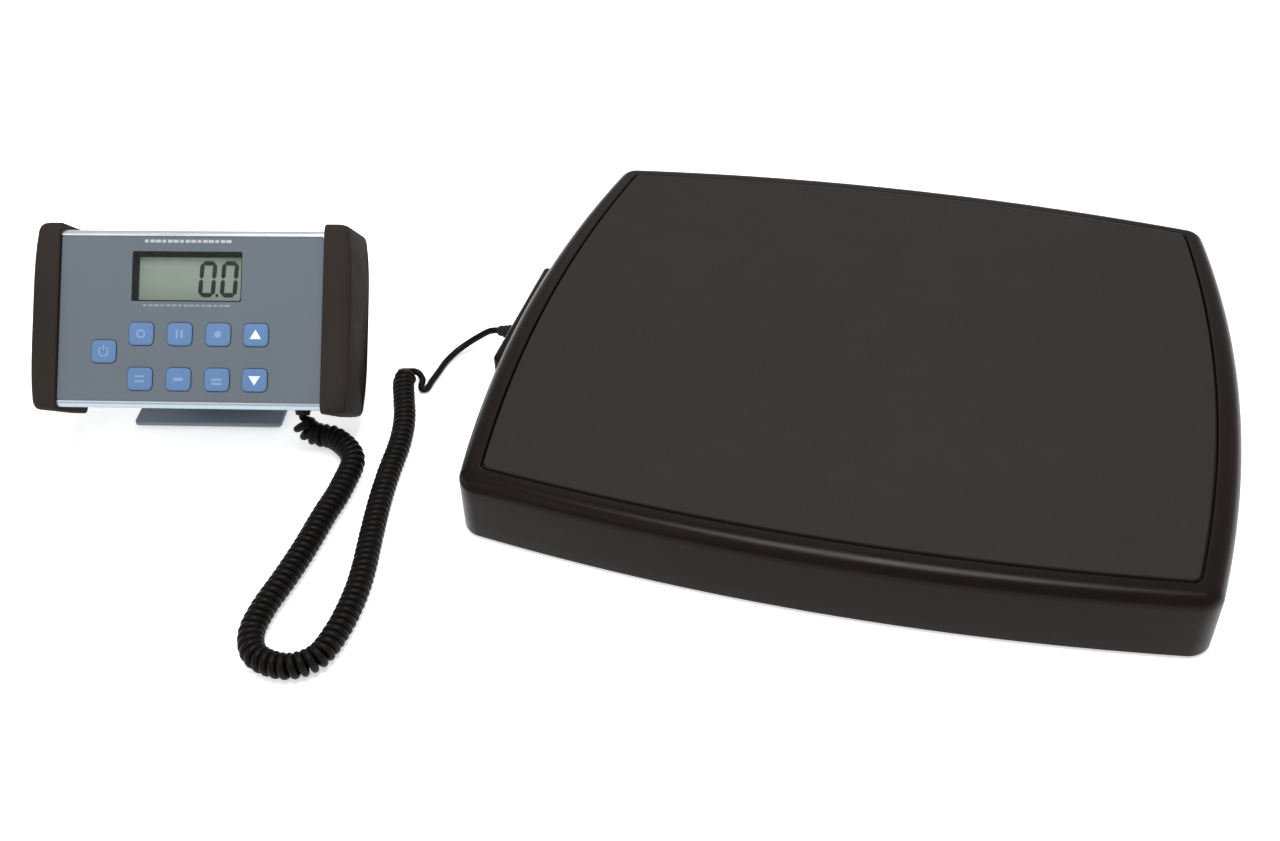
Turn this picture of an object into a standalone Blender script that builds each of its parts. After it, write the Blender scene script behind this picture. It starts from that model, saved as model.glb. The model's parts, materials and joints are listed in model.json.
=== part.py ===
"""Animal weighing scale: a low platform on four load cells, wired by a curly cord to a display on a tilting stand.

Metres, +Z up. The origin is on the floor, at the middle of the scale's footprint without its cord. +X runs along
the platform's width, from the display to the platform, and -Y is the side that the user stands at.
"""

import math

import bmesh
import bpy
from mathutils import Vector

MM = 0.001

# Platform: a barrel-shaped rectangle, widest and deepest at the middle of its sides.
PLATFORM_X = 113 * MM
PLATFORM_WIDTH = 362 * MM
PLATFORM_DEPTH = 320 * MM
BULGE_X = 14 * MM
BULGE_Y = 13 * MM
CORNER_RADIUS = 8.5 * MM
MAT_TOP = 36 * MM
TRAVEL = 0.6 * MM
GAP = 0.3 * MM

# Deck cover: a moulded lid whose skirt hides the base.
SKIRT_BOTTOM = 1.2 * MM
SKIRT_TAPER = 0.2 * MM
COVER_WALL = 3 * MM
RIM_TOP = MAT_TOP - 0.6 * MM
RIM_FILLET = 5.5 * MM
RIM_INSET = 11 * MM
RECESS_DEPTH = 1.9 * MM
MAT_THICKNESS = 2.2 * MM
COVER_ROOF = MAT_TOP - 5 * MM
DECK_PLATE_THICKNESS = 3 * MM
NOTCH_TOP = 25 * MM

# Base: a shallow steel pan on four rubber feet, one load cell over each foot.
PAN_INSET = 9 * MM
PAN_WALL = 2 * MM
PAN_BOTTOM = 6 * MM
PAN_RIM = 14 * MM
FOOT_RADIUS = 14 * MM
FOOT_X = 138 * MM
FOOT_Y = 118 * MM
CELL_SIZE = 34 * MM
CELL_THICKNESS = 3 * MM
CELL_MOUNT_SIZE = 40 * MM
LOAD_PIN_RADIUS = 7 * MM

# Cable housing on the left side of the base, where the cord comes in.
HOUSING_OUT = 188 * MM
HOUSING_IN = 174.5 * MM
HOUSING_BACK = 48 * MM
HOUSING_FRONT = -40 * MM
HOUSING_BOTTOM = 7 * MM
HOUSING_TOP = 23 * MM
CORD_EXIT = Vector((-188 * MM, -6 * MM, 14.5 * MM))

# Display: its face is FACE_WIDTH by FACE_HEIGHT, and leans back by TILT.
FACE_WIDTH = 132 * MM
FACE_HEIGHT = 88 * MM
DISPLAY_DEPTH = 34 * MM
DISPLAY_WALL = 2 * MM
FACE_RECESS = 1.2 * MM
LIP = 3 * MM
OVERLAY_THICKNESS = 0.8 * MM
BOTTOM_TAPER = 3.3 * MM
CAP_WIDTH = 11 * MM
CAP_PROUD = 3.5 * MM
CAP_BELOW = 1.8 * MM
CAP_BACK = 36.4 * MM
CAP_BOW = 2.6 * MM
WINDOW = (-30 * MM, 52.6 * MM, 25.3 * MM, 77.4 * MM)
KEY_COLUMNS = [u * MM for u in (-24.2, -4.9, 14.4, 33.2)]
KEY_ROWS = [v * MM for v in (36.4, 14.2)]
POWER_KEY = (-42.8 * MM, 27.5 * MM)
KEY_WIDTH = 12.4 * MM
KEY_HEIGHT = 11.2 * MM
KEY_NAMES = (
    ("zero_key", "hold_key", "unit_key", "up_key"),
    ("clear_key", "tare_key", "enter_key", "down_key"),
)

# Stand: the display tilts on a bolt between the two ears of a bent steel bracket.
YAW = math.radians(11.7)
TILT = math.radians(41.8)
PIVOT_V = 30 * MM
PIVOT_DEPTH = 48 * MM
FACE_FOOT = Vector((-201.2 * MM, -127.3 * MM, 34 * MM))
BRACKET_SIDES = (-42.5 * MM, 34.5 * MM)
BRACKET_FRONT = 31 * MM
BRACKET_BACK = 44 * MM
BRACKET_SHEET = 2.5 * MM
PAD_THICKNESS = 1.5 * MM
EAR_GAP = 31 * MM
EAR_RADIUS = 8 * MM
BOLT_RADIUS = 3 * MM

# Battery compartment in the back of the display, and its door.
BATTERY_RADIUS = 7.1 * MM
BATTERY_LENGTH = 50 * MM
BATTERY_V = (49 * MM, 65 * MM)
DOOR = (-56 * MM, 40 * MM, 56 * MM, 78 * MM)

# Curly cord: route points chosen by hand, in the scale's own frame, along the middle of the cord.
CORD_RADIUS = 1.75 * MM
COIL_RADIUS = (6.2 * MM, 5.75 * MM)
GLAND_U = 50.5 * MM
GLAND_DEPTH = 24 * MM
GLAND_TOP = 1.9 * MM
GLAND_HEIGHT = 3.4 * MM
COIL_RISE = [
    (-155.0, -101.4, 15.8),
    (-154.4, -102.5, 13.4),
    (-153.3, -102.8, 11.0),
    (-151.9, -102.3, 8.7),
    (-149.4, -101.9, 7.1),
    (-147.2, -101.8, 6.65),
    (-144.6, -101.8, 6.6),
]
COIL_RUN = [
    (-143.6, -101.8, 6.6),
    (-141.0, -101.8, 6.6),
    (-137.6, -102.9, 6.6),
    (-131.8, -106.2, 6.6),
    (-126.4, -110.6, 6.6),
    (-122.6, -116.0, 6.5),
    (-121.1, -122.0, 6.5),
    (-120.3, -130.6, 6.5),
    (-119.6, -142.0, 6.4),
    (-119.8, -156.0, 6.4),
    (-119.2, -179.0, 6.3),
    (-119.6, -199.0, 6.3),
    (-120.6, -219.0, 6.3),
    (-118.6, -234.0, 6.2),
    (-110.6, -244.4, 6.2),
    (-96.0, -246.6, 6.2),
    (-85.6, -239.0, 6.2),
    (-83.0, -224.0, 6.2),
    (-83.6, -206.0, 6.2),
    (-86.4, -188.0, 6.1),
    (-92.6, -163.0, 6.1),
    (-97.8, -141.0, 6.1),
    (-101.8, -120.0, 6.1),
    (-105.2, -98.0, 6.0),
    (-110.0, -80.0, 6.0),
    (-117.2, -63.0, 6.0),
    (-122.4, -51.0, 6.0),
    (-123.0, -42.4, 6.0),
]
PLATFORM_TAIL = [
    (-123.0, -41.8, 6.0),
    (-122.7, -39.8, 6.0),
    (-120.8, -38.6, 5.8),
    (-118.0, -38.8, 5.3),
    (-115.6, -41.2, 4.3),
    (-114.6, -44.6, 3.2),
    (-114.2, -47.8, 2.3),
    (-112.4, -49.8, 2.0),
    (-110.6, -48.0, 2.0),
    (-110.5, -42.0, 2.0),
    (-109.9, -32.7, 2.0),
    (-109.2, -23.5, 2.1),
    (-106.2, -14.8, 3.2),
    (-100.9, -8.8, 5.8),
    (-94.6, -6.4, 9.8),
    (-89.4, -6.0, 13.2),
    (-85.0, -6.0, 14.5),
]


def clear_scene():
    for obj in list(bpy.data.objects):
        bpy.data.objects.remove(obj)


def material(name, colour, roughness, metallic=0.0, alpha=1.0):
    mat = bpy.data.materials.new(name)
    mat.use_nodes = True
    shader = mat.node_tree.nodes["Principled BSDF"]
    shader.inputs["Base Color"].default_value = (*colour, 1.0)
    shader.inputs["Roughness"].default_value = roughness
    shader.inputs["Metallic"].default_value = metallic
    shader.inputs["Alpha"].default_value = alpha
    return mat


def make_materials():
    return {
        "cover": material("moulded_black", (0.035, 0.032, 0.031), 0.38),
        "mat": material("ribbed_rubber", (0.042, 0.039, 0.037), 0.85),
        "rubber": material("black_rubber", (0.02, 0.02, 0.02), 0.8),
        "steel": material("zinc_steel", (0.55, 0.56, 0.57), 0.4, 1.0),
        "nylon": material("black_nylon", (0.04, 0.04, 0.04), 0.6),
        "board": material("circuit_board", (0.02, 0.16, 0.07), 0.5),
        "aluminium": material("aluminium", (0.8, 0.81, 0.83), 0.28, 1.0),
        "overlay": material("printed_overlay", (0.2, 0.235, 0.255), 0.42),
        "cap": material("end_cap_black", (0.028, 0.026, 0.025), 0.42),
        "lens": material("clear_window", (0.7, 0.75, 0.7), 0.08, 0.0, 0.35),
        "lcd": material("liquid_crystal", (0.26, 0.31, 0.25), 0.25),
        "key": material("blue_key", (0.12, 0.22, 0.42), 0.4),
        "bracket": material("grey_paint", (0.1, 0.115, 0.13), 0.5),
        "battery": material("battery_jacket", (0.05, 0.05, 0.06), 0.35),
        "cord": material("cord_black", (0.03, 0.028, 0.027), 0.45),
    }


def add(name, bm, mat, parent=None, at=(0, 0, 0), smooth=35):
    """A new object from bm, its faces turned outwards, shaded smooth up to that many degrees."""
    bmesh.ops.recalc_face_normals(bm, faces=bm.faces)
    mesh = bpy.data.meshes.new(name)
    bm.to_mesh(mesh)
    bm.free()
    mesh.materials.append(mat)
    mesh.shade_smooth()
    mesh.set_sharp_from_angle(angle=math.radians(smooth))
    obj = bpy.data.objects.new(name, mesh)
    bpy.context.scene.collection.objects.link(obj)
    obj.parent = parent
    obj.location = at
    return obj


def empty(name, at, turn=(0, 0, 0), parent=None):
    obj = bpy.data.objects.new(name, None)
    bpy.context.scene.collection.objects.link(obj)
    obj.parent = parent
    obj.location = at
    obj.rotation_euler = turn
    return obj


def loft(rings):
    """A closed body through rings with the same number of points, flat across its first and last ring."""
    bm = bmesh.new()
    loops = [[bm.verts.new(p) for p in ring] for ring in rings]
    for low, high in zip(loops, loops[1:]):
        for i in range(len(low)):
            j = (i + 1) % len(low)
            bm.faces.new((low[i], low[j], high[j], high[i]))
    bm.faces.new(loops[0])
    bm.faces.new(loops[-1])
    return bm


def prism(outline, low, high, axis="Z"):
    """The outline, as pairs, drawn out from low to high along an axis: pairs are XY on Z, and YZ on X."""
    if axis == "Z":
        return loft([[(x, y, level) for x, y in outline] for level in (low, high)])
    return loft([[(level, y, z) for y, z in outline] for level in (low, high)])


def box(low, high, bevel=0.0, segments=2):
    """A box between two corners, its edges rounded to the bevel."""
    bm = bmesh.new()
    bmesh.ops.create_cube(bm, size=1.0)
    for v in bm.verts:
        v.co = Vector(low[k] + (v.co[k] + 0.5) * (high[k] - low[k]) for k in range(3))
    if bevel:
        bmesh.ops.bevel(bm, geom=bm.edges[:], offset=bevel, segments=segments, profile=0.5, affect="EDGES")
    return bm


def disc_outline(radius, sides, centre=(0, 0)):
    turns = [2 * math.pi * i / sides for i in range(sides)]
    return [(centre[0] + radius * math.cos(a), centre[1] + radius * math.sin(a)) for a in turns]


def turned(profile, sides, axis="Z"):
    """A body turned from (radius, height) pairs, from its lower face to its upper one."""
    rings = [[(x, y, height) for x, y in disc_outline(radius, sides)] for radius, height in profile]
    if axis == "X":
        rings = [[(z, x, y) for x, y, z in ring] for ring in rings]
    return loft(rings)


def cut(obj, cutters):
    """Takes the cutters away from the object, with one Boolean each."""
    for number, bm in enumerate(cutters):
        cutter = add(f"{obj.name}_cutter_{number}", bm, obj.data.materials[0], obj.parent, obj.location)
        cutter.hide_render = True
        cutter.display_type = "WIRE"
        boolean = obj.modifiers.new("Cut", "BOOLEAN")
        boolean.object = cutter
        boolean.operation = "DIFFERENCE"


def join(obj, others):
    """Unites the other shapes with the object, with one Boolean each."""
    cut(obj, others)
    for boolean in obj.modifiers[-len(others):]:
        boolean.operation = "UNION"


def rounded_rectangle(half_x, half_y, radius, side_steps=1, corner_steps=5):
    """Points anticlockwise round a rectangle with round corners, from the right side's lower end."""
    points = []
    flat_x, flat_y = half_x - radius, half_y - radius
    corners = ((flat_x, flat_y), (-flat_x, flat_y), (-flat_x, -flat_y), (flat_x, -flat_y))
    for quarter, (cx, cy) in enumerate(corners):
        start = quarter * math.pi / 2
        before = corners[quarter - 1]
        side = Vector((radius * math.cos(start), radius * math.sin(start)))
        for step in range(1, side_steps):
            share = step / side_steps
            x, y = before[0] + (cx - before[0]) * share, before[1] + (cy - before[1]) * share
            points.append((x + side.x, y + side.y))
        for step in range(corner_steps + 1):
            angle = start + step * math.pi / 2 / corner_steps
            points.append((cx + radius * math.cos(angle), cy + radius * math.sin(angle)))
    return points


def platform_outline(inset, side_steps=10, corner_steps=5):
    """The platform's barrel outline, set in by that much: a rectangle whose sides swell towards their middles."""
    half_x, half_y = PLATFORM_WIDTH / 2 - BULGE_X, PLATFORM_DEPTH / 2 - BULGE_Y
    radius = max(CORNER_RADIUS - inset, 3 * MM)
    flat = rounded_rectangle(half_x - inset, half_y - inset, radius, side_steps, corner_steps)
    return [
        (x + BULGE_X * (1 - (y / half_y) ** 2) * x / half_x, y + BULGE_Y * (1 - (x / half_x) ** 2) * y / half_y)
        for x, y in flat
    ]


def platform_ring(inset, height):
    return [(x, y, height) for x, y in platform_outline(inset)]


def four_corners():
    return [(sx * FOOT_X, sy * FOOT_Y) for sy in (-1, 1) for sx in (-1, 1)]


def make_deck(mats, platform):
    """What moves under the load: the lid, its steel plate, the mat and a pin over each load cell."""
    side_top = RIM_TOP - RIM_FILLET
    fillet = [math.radians(a) for a in (0, 30, 60, 90)]
    rings = [
        platform_ring(COVER_WALL + SKIRT_TAPER, COVER_ROOF),
        platform_ring(COVER_WALL + SKIRT_TAPER, SKIRT_BOTTOM),
        platform_ring(SKIRT_TAPER, SKIRT_BOTTOM),
    ]
    rings += [
        platform_ring(RIM_FILLET * (1 - math.cos(a)), side_top + RIM_FILLET * math.sin(a)) for a in fillet
    ]
    rings += [
        platform_ring(RIM_INSET, RIM_TOP),
        platform_ring(RIM_INSET + 0.4 * MM, RIM_TOP - RECESS_DEPTH),
    ]
    cover = add("deck_cover", loft(rings), mats["cover"], platform)
    notch_low = (-HOUSING_OUT - 5 * MM, HOUSING_FRONT - 2 * MM, -5 * MM)
    notch_high = (-HOUSING_IN + 6 * MM, HOUSING_BACK + 2 * MM, NOTCH_TOP)
    cut(cover, [box(notch_low, notch_high)])

    plate_top = COVER_ROOF - GAP
    plate_bottom = plate_top - DECK_PLATE_THICKNESS
    plate = platform_outline(12 * MM, 4, 2)
    add("deck_plate", prism(plate, plate_bottom, plate_top), mats["steel"], platform)

    mat_bottom = MAT_TOP - MAT_THICKNESS
    mat_rings = [
        platform_ring(RIM_INSET + 1 * MM, mat_bottom),
        platform_ring(RIM_INSET + 1 * MM, MAT_TOP - 0.7 * MM),
        platform_ring(RIM_INSET + 1.8 * MM, MAT_TOP),
    ]
    add("rubber_mat", loft(mat_rings), mats["mat"], platform)

    pin_bottom = PAN_BOTTOM + PAN_WALL + 2 * (CELL_THICKNESS + GAP) + TRAVEL + 2 * GAP
    for number, (x, y) in enumerate(four_corners(), 1):
        profile = [
            (LOAD_PIN_RADIUS - 1 * MM, pin_bottom),
            (LOAD_PIN_RADIUS, pin_bottom + 1 * MM),
            (LOAD_PIN_RADIUS, plate_bottom - GAP),
        ]
        add(f"load_pin_{number}", turned(profile, 16), mats["steel"], platform, (x, y, 0))


def load_cell_shape():
    """A flat spring plate with a U-shaped slot, which leaves a tongue that carries the load."""
    half, slot, tongue = CELL_SIZE / 2, 3 * MM, 6 * MM
    deep = half - 5 * MM
    outline = [
        (-half, -half), (-tongue - slot, -half), (-tongue - slot, deep), (tongue + slot, deep),
        (tongue + slot, -half), (half, -half), (half, half), (-half, half),
    ]
    inner = [(-tongue, -half), (tongue, -half), (tongue, deep + 1 * MM), (-tongue, deep + 1 * MM)]
    return outline, inner


def make_base(mats, platform):
    """What stands on the floor: the pan, its feet, the load cells and the board that sums their signals."""
    rings = [
        platform_ring(PAN_INSET + PAN_WALL, PAN_BOTTOM + PAN_WALL),
        platform_ring(PAN_INSET + PAN_WALL, PAN_RIM),
        platform_ring(PAN_INSET, PAN_RIM),
        platform_ring(PAN_INSET, PAN_BOTTOM),
    ]
    pan = add("base_pan", loft(rings), mats["steel"], platform)
    notch = box(
        (-HOUSING_OUT, HOUSING_FRONT - 1 * MM, PAN_BOTTOM + PAN_WALL + 0.5 * MM),
        (-HOUSING_IN + 8 * MM, HOUSING_BACK + 1 * MM, PAN_RIM + 5 * MM),
    )
    cut(pan, [notch])

    floor = PAN_BOTTOM + PAN_WALL + GAP
    outline, inner = load_cell_shape()
    for number, (x, y) in enumerate(four_corners(), 1):
        foot = [
            (FOOT_RADIUS - 1.5 * MM, 0),
            (FOOT_RADIUS, 1.5 * MM),
            (FOOT_RADIUS - 1 * MM, PAN_BOTTOM - GAP),
        ]
        add(f"foot_{number}", turned(foot, 24), mats["rubber"], platform, (x, y, 0))
        half = CELL_MOUNT_SIZE / 2
        mount = add(
            f"cell_mount_{number}",
            prism(rounded_rectangle(half, half, 4 * MM, 1, 3), floor, floor + CELL_THICKNESS),
            mats["nylon"],
            platform,
            (x, y, 0),
        )
        opening = 11 * MM
        cut(mount, [box((-opening, -opening, 0), (opening, opening, 0.02))])
        cell_bottom = floor + CELL_THICKNESS + GAP
        cell = add(
            f"load_cell_{number}",
            prism(outline, cell_bottom, cell_bottom + CELL_THICKNESS),
            mats["steel"],
            platform,
            (x, y, 0),
        )
        join(cell, [prism(inner, cell_bottom, cell_bottom + CELL_THICKNESS)])

    board = box((-30 * MM, -22 * MM, floor + 2 * MM), (30 * MM, 22 * MM, floor + 3.6 * MM))
    add("junction_board", board, mats["board"], platform)


def make_cable_housing(mats, platform):
    """The moulded box on the base's left side, the socket in it and the grommet that the cord comes through."""
    housing = add(
        "cable_housing",
        box(
            (-HOUSING_OUT, HOUSING_FRONT, PAN_BOTTOM + PAN_WALL + 0.9 * MM),
            (-HOUSING_IN, HOUSING_BACK, HOUSING_TOP),
            2.5 * MM,
            2,
        ),
        mats["cover"],
        platform,
    )
    wall = 2.2 * MM
    hollow = box(
        (-HOUSING_OUT + wall, HOUSING_FRONT + wall, PAN_BOTTOM + PAN_WALL + 0.9 * MM + wall),
        (-HOUSING_IN + 5 * MM, HOUSING_BACK - wall, HOUSING_TOP - wall),
    )
    cut(housing, [hollow])
    socket = box((-HOUSING_OUT + 3 * MM, -14 * MM, 11.6 * MM), (-168 * MM, 2 * MM, 20 * MM), 0.6 * MM, 1)
    add("cable_socket", socket, mats["nylon"], platform)
    grommet = turned([(4.4 * MM, 0), (4.2 * MM, 1.5 * MM), (2.9 * MM, 8 * MM), (2.6 * MM, 9 * MM)], 16, "X")
    for v in grommet.verts:
        v.co.x = -v.co.x - GAP
    add("platform_grommet", grommet, mats["rubber"], platform, CORD_EXIT)


def on_display(u, depth, v):
    """A point of the display measured from its tilt axis: u across its face, depth behind it, v up it."""
    return (u, depth - PIVOT_DEPTH, v - PIVOT_V)


def display_box(u_range, depth_range, v_range, bevel=0.0, segments=2):
    low = on_display(u_range[0], depth_range[0], v_range[0])
    high = on_display(u_range[1], depth_range[1], v_range[1])
    return box(low, high, bevel, segments)


def corner_arc(centre, radius, start, steps=4):
    """A quarter round from start degrees, anticlockwise in depth and height."""
    turns = [math.radians(start + 90 * i / steps) for i in range(steps + 1)]
    return [(centre[0] + radius * math.cos(a), centre[1] + radius * math.sin(a)) for a in turns]


def side_profile(front, back, low, high, taper, radius_front, radius_back):
    """An outline of the display from the side, as (depth, v), anticlockwise from its upper back corner."""
    points = corner_arc((back - radius_back, high - radius_back), radius_back, 0)
    points += corner_arc((front + radius_front, high - radius_front), radius_front, 90)
    points += corner_arc((front + radius_front, low + radius_front), radius_front, 180)
    points += corner_arc((back - radius_back, low + taper + radius_back), radius_back, 270)
    return points


def long_sides_split(outline, parts=4):
    """A side profile with points added along its front and its back, so that they can bow."""
    def between(start, end):
        return [tuple(a + (b - a) * i / parts for a, b in zip(start, end)) for i in range(1, parts)]

    half = len(outline) // 2
    return [*outline[:half], *between(outline[half - 1], outline[half]), *outline[half:],
            *between(outline[-1], outline[0])]


def profile_ring(u, profile):
    return [on_display(u, depth, v) for depth, v in profile]


def make_display_body(mats, tilt):
    """The extruded aluminium case, its front panel and the two end caps."""
    half = FACE_WIDTH / 2
    outline = side_profile(0, DISPLAY_DEPTH, 0, FACE_HEIGHT, BOTTOM_TAPER, 3 * MM, 6 * MM)
    rings = [profile_ring(u, outline) for u in (-half, half)]
    case = add("display_case", loft(rings), mats["aluminium"], tilt)
    inside = display_box(
        (-half - 5 * MM, half + 5 * MM),
        (FACE_RECESS + DISPLAY_WALL, DISPLAY_DEPTH - DISPLAY_WALL),
        (BOTTOM_TAPER + DISPLAY_WALL, FACE_HEIGHT - DISPLAY_WALL),
    )
    face = display_box((-half - 5 * MM, half + 5 * MM), (-5 * MM, FACE_RECESS), (LIP, FACE_HEIGHT - LIP))
    door_hole = display_box((DOOR[0] + 4 * MM, DOOR[2] - 4 * MM), (25 * MM, 40 * MM), (44 * MM, 74 * MM))
    cut(case, [inside, face, door_hole, *front_openings(0.5 * MM, -3 * MM, 8 * MM)])

    panel = add(
        "face_overlay",
        display_box(
            (-half + 0.3 * MM, half - 0.3 * MM),
            (FACE_RECESS - OVERLAY_THICKNESS, FACE_RECESS - 0.1 * MM),
            (LIP + GAP, FACE_HEIGHT - LIP - GAP),
        ),
        mats["overlay"],
        tilt,
    )
    cut(panel, front_openings(0.4 * MM, -5 * MM, 5 * MM))

    for name, side in (("left_end_cap", -1), ("right_end_cap", 1)):
        add(name, loft(cap_rings(side)), mats["cap"], tilt)


def cap_rings(side):
    """An end cap's rings, from the case outwards: its front edge is rounded most, and its outer face bows."""
    middle = FACE_HEIGHT / 2
    rings = []
    for share, inset in ((0, 0), (0.6, 0), (0.84, 0.8 * MM), (0.96, 2.1 * MM), (1, 3.6 * MM)):
        low, high = -CAP_BELOW + inset * 0.4, FACE_HEIGHT + CAP_PROUD - inset * 0.4
        outline = side_profile(inset - 2 * MM, CAP_BACK - inset * 0.3, low, high, 0, 4 * MM, 3 * MM)
        ring = []
        for depth, v in long_sides_split(outline):
            bow = CAP_BOW * (1 - ((v - middle) / (middle + CAP_PROUD)) ** 4) * share
            ring.append(on_display(side * (FACE_WIDTH / 2 + GAP + CAP_WIDTH * share + bow), depth, v))
        rings.append(ring)
    return rings


def key_centres():
    """Each key's name and the middle of its cap, as (u, v)."""
    found = [("power_key", POWER_KEY)]
    for row, v in enumerate(KEY_ROWS):
        found += [(KEY_NAMES[row][column], (u, v)) for column, u in enumerate(KEY_COLUMNS)]
    return found


def front_openings(slack, front, back):
    """Cutters for the window and the keys, from front to back in depth."""
    cutters = [display_box((WINDOW[0], WINDOW[2]), (front, back), (WINDOW[1], WINDOW[3]))]
    for _, (u, v) in key_centres():
        wide, high = KEY_WIDTH / 2 + slack, KEY_HEIGHT / 2 + slack
        cutters.append(display_box((u - wide, u + wide), (front, back), (v - high, v + high)))
    return cutters


def make_front(mats, tilt):
    """The window, the liquid crystal panel behind it, the keys and the main board."""
    slack = 0.3 * MM
    lens = display_box(
        (WINDOW[0] + slack, WINDOW[2] - slack),
        (FACE_RECESS - OVERLAY_THICKNESS, FACE_RECESS - 0.1 * MM),
        (WINDOW[1] + slack, WINDOW[3] - slack),
    )
    add("lcd_window", lens, mats["lens"], tilt)
    inner = FACE_RECESS + DISPLAY_WALL
    lcd = display_box(
        (WINDOW[0] - 3 * MM, WINDOW[2] + 3 * MM),
        (inner + GAP, inner + GAP + 3 * MM),
        (WINDOW[1] - 2.5 * MM, WINDOW[3] + 3 * MM),
    )
    add("lcd_panel", lcd, mats["lcd"], tilt)
    board = display_box((-62 * MM, 62 * MM), (8.2 * MM, 9.8 * MM), (7 * MM, 84 * MM))
    add("main_board", board, mats["board"], tilt)
    for name, (u, v) in key_centres():
        wide, high = KEY_WIDTH / 2, KEY_HEIGHT / 2
        key = rounded_rectangle(wide, high, 2.5 * MM, 1, 3)
        rings = []
        for depth, inset in ((inner + 0.4 * MM, 0), (0.1 * MM, 0), (-0.4 * MM, 0.8 * MM)):
            scale_u, scale_v = (wide - inset) / wide, (high - inset) / high
            rings.append([on_display(x * scale_u, depth, y * scale_v) for x, y in key])
        add(name, loft(rings), mats["key"], tilt, (u, 0, v))


def make_battery_box(mats, tilt):
    """The tray for four AA cells, the cells and the door that slides up off the back."""
    holder = add(
        "battery_holder",
        display_box((-54.5 * MM, 54.5 * MM), (11 * MM, 31.6 * MM), (39.5 * MM, 75 * MM)),
        mats["nylon"],
        tilt,
    )
    tray = display_box((-52.5 * MM, 52.5 * MM), (13 * MM, 40 * MM), (41.3 * MM, 73.2 * MM))
    cut(holder, [tray])
    number = 0
    for v in BATTERY_V:
        for side in (-1, 1):
            number += 1
            start = side * 0.8 * MM
            profile = [
                (BATTERY_RADIUS - 0.6 * MM, start),
                (BATTERY_RADIUS, start + side * 0.6 * MM),
                (BATTERY_RADIUS, start + side * (BATTERY_LENGTH - 1.6 * MM)),
                (2.8 * MM, start + side * (BATTERY_LENGTH - 1.5 * MM)),
                (2.8 * MM, start + side * BATTERY_LENGTH),
            ]
            cell = turned(profile, 16, "X")
            add(f"battery_{number}", cell, mats["battery"], tilt, on_display(0, 21 * MM, v))
    door = add(
        "battery_door",
        display_box(
            (DOOR[0], DOOR[2]),
            (DISPLAY_DEPTH + GAP, DISPLAY_DEPTH + GAP + 2 * MM),
            (DOOR[1], DOOR[3]),
            0.6 * MM,
            1,
        ),
        mats["cap"],
        tilt,
    )
    grip = display_box((-12 * MM, 12 * MM), (DISPLAY_DEPTH + 1.6 * MM, 40 * MM), (44 * MM, 46 * MM))
    cut(door, [grip])


def make_tilt_joint(mats, tilt, stand):
    """The knuckle on the display's back, the bolt through it, the clamp knob and the bent bracket."""
    reach = PIVOT_DEPTH - DISPLAY_DEPTH
    front = -reach + GAP
    outline = [(front, -10 * MM), (0, -EAR_RADIUS)]
    outline += [(EAR_RADIUS * math.sin(a), -EAR_RADIUS * math.cos(a)) for a in (0.5, 1.0, 1.571, 2.14, 2.64)]
    outline += [(0, EAR_RADIUS), (front, 10 * MM)]
    half = EAR_GAP / 2 - 0.5 * MM
    knuckle = add("tilt_knuckle", prism(outline, -half, half, "X"), mats["cap"], tilt)
    bore = prism(disc_outline(BOLT_RADIUS + GAP, 20), -half - 5 * MM, half + 5 * MM, "X")
    cut(knuckle, [bore])

    sheet_out = EAR_GAP / 2 + BRACKET_SHEET
    plate_low = -stand.location.z + PAD_THICKNESS + GAP
    plate_high = plate_low + BRACKET_SHEET
    (left, right), middle = BRACKET_SIDES, sum(BRACKET_SIDES) / 2
    outline = rounded_rectangle((right - left) / 2, (BRACKET_FRONT + BRACKET_BACK) / 2, 2 * MM, 1, 3)
    outline = [(x + middle, y + (BRACKET_BACK - BRACKET_FRONT) / 2) for x, y in outline]
    bracket = add("stand_bracket", prism(outline, plate_low, plate_high), mats["bracket"], stand)
    ear_low = plate_low + 0.5 * MM
    ear = [(EAR_RADIUS * math.cos(math.pi * i / 8), EAR_RADIUS * math.sin(math.pi * i / 8)) for i in range(9)]
    ear += [(-EAR_RADIUS - 5 * MM, ear_low), (EAR_RADIUS + 5 * MM, ear_low)]
    join(bracket, [
        prism(ear, -sheet_out, -EAR_GAP / 2, "X"),
        prism(ear, EAR_GAP / 2, sheet_out, "X"),
    ])
    hole = prism(disc_outline(BOLT_RADIUS + GAP, 20), -sheet_out - 5 * MM, sheet_out + 5 * MM, "X")
    cut(bracket, [hole])

    for name, y in (("front_pad", -BRACKET_FRONT + 9 * MM), ("rear_pad", BRACKET_BACK - 5 * MM)):
        pad = box((-30 * MM, y - 3 * MM, -stand.location.z), (30 * MM, y + 3 * MM, plate_low - GAP))
        add(name, pad, mats["rubber"], stand)

    head = -sheet_out - GAP
    bolt = [
        (5 * MM, head - 3.5 * MM),
        (5 * MM, head),
        (BOLT_RADIUS, head),
        (BOLT_RADIUS, sheet_out + 2 * MM),
    ]
    add("tilt_bolt", turned(bolt, 20, "X"), mats["steel"], stand)
    start = sheet_out + 0.6 * MM
    waves = [(math.pi * i / 18, 1 - 0.1 * math.cos(math.pi * i / 3)) for i in range(36)]
    rings = []
    for radius, level in ((5.5, 0), (5.5, 2), (10.5, 2.6), (10.5, 10), (9, 11.5)):
        ring = [(radius * r * math.cos(a) * MM, radius * r * math.sin(a) * MM) for a, r in waves]
        rings.append([(start + level * MM, y, z) for y, z in ring])
    knob = add("clamp_knob", loft(rings), mats["cap"], stand)
    socket = prism(disc_outline(BOLT_RADIUS + GAP, 20), start - 5 * MM, start + 4 * MM, "X")
    cut(knob, [socket])


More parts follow.
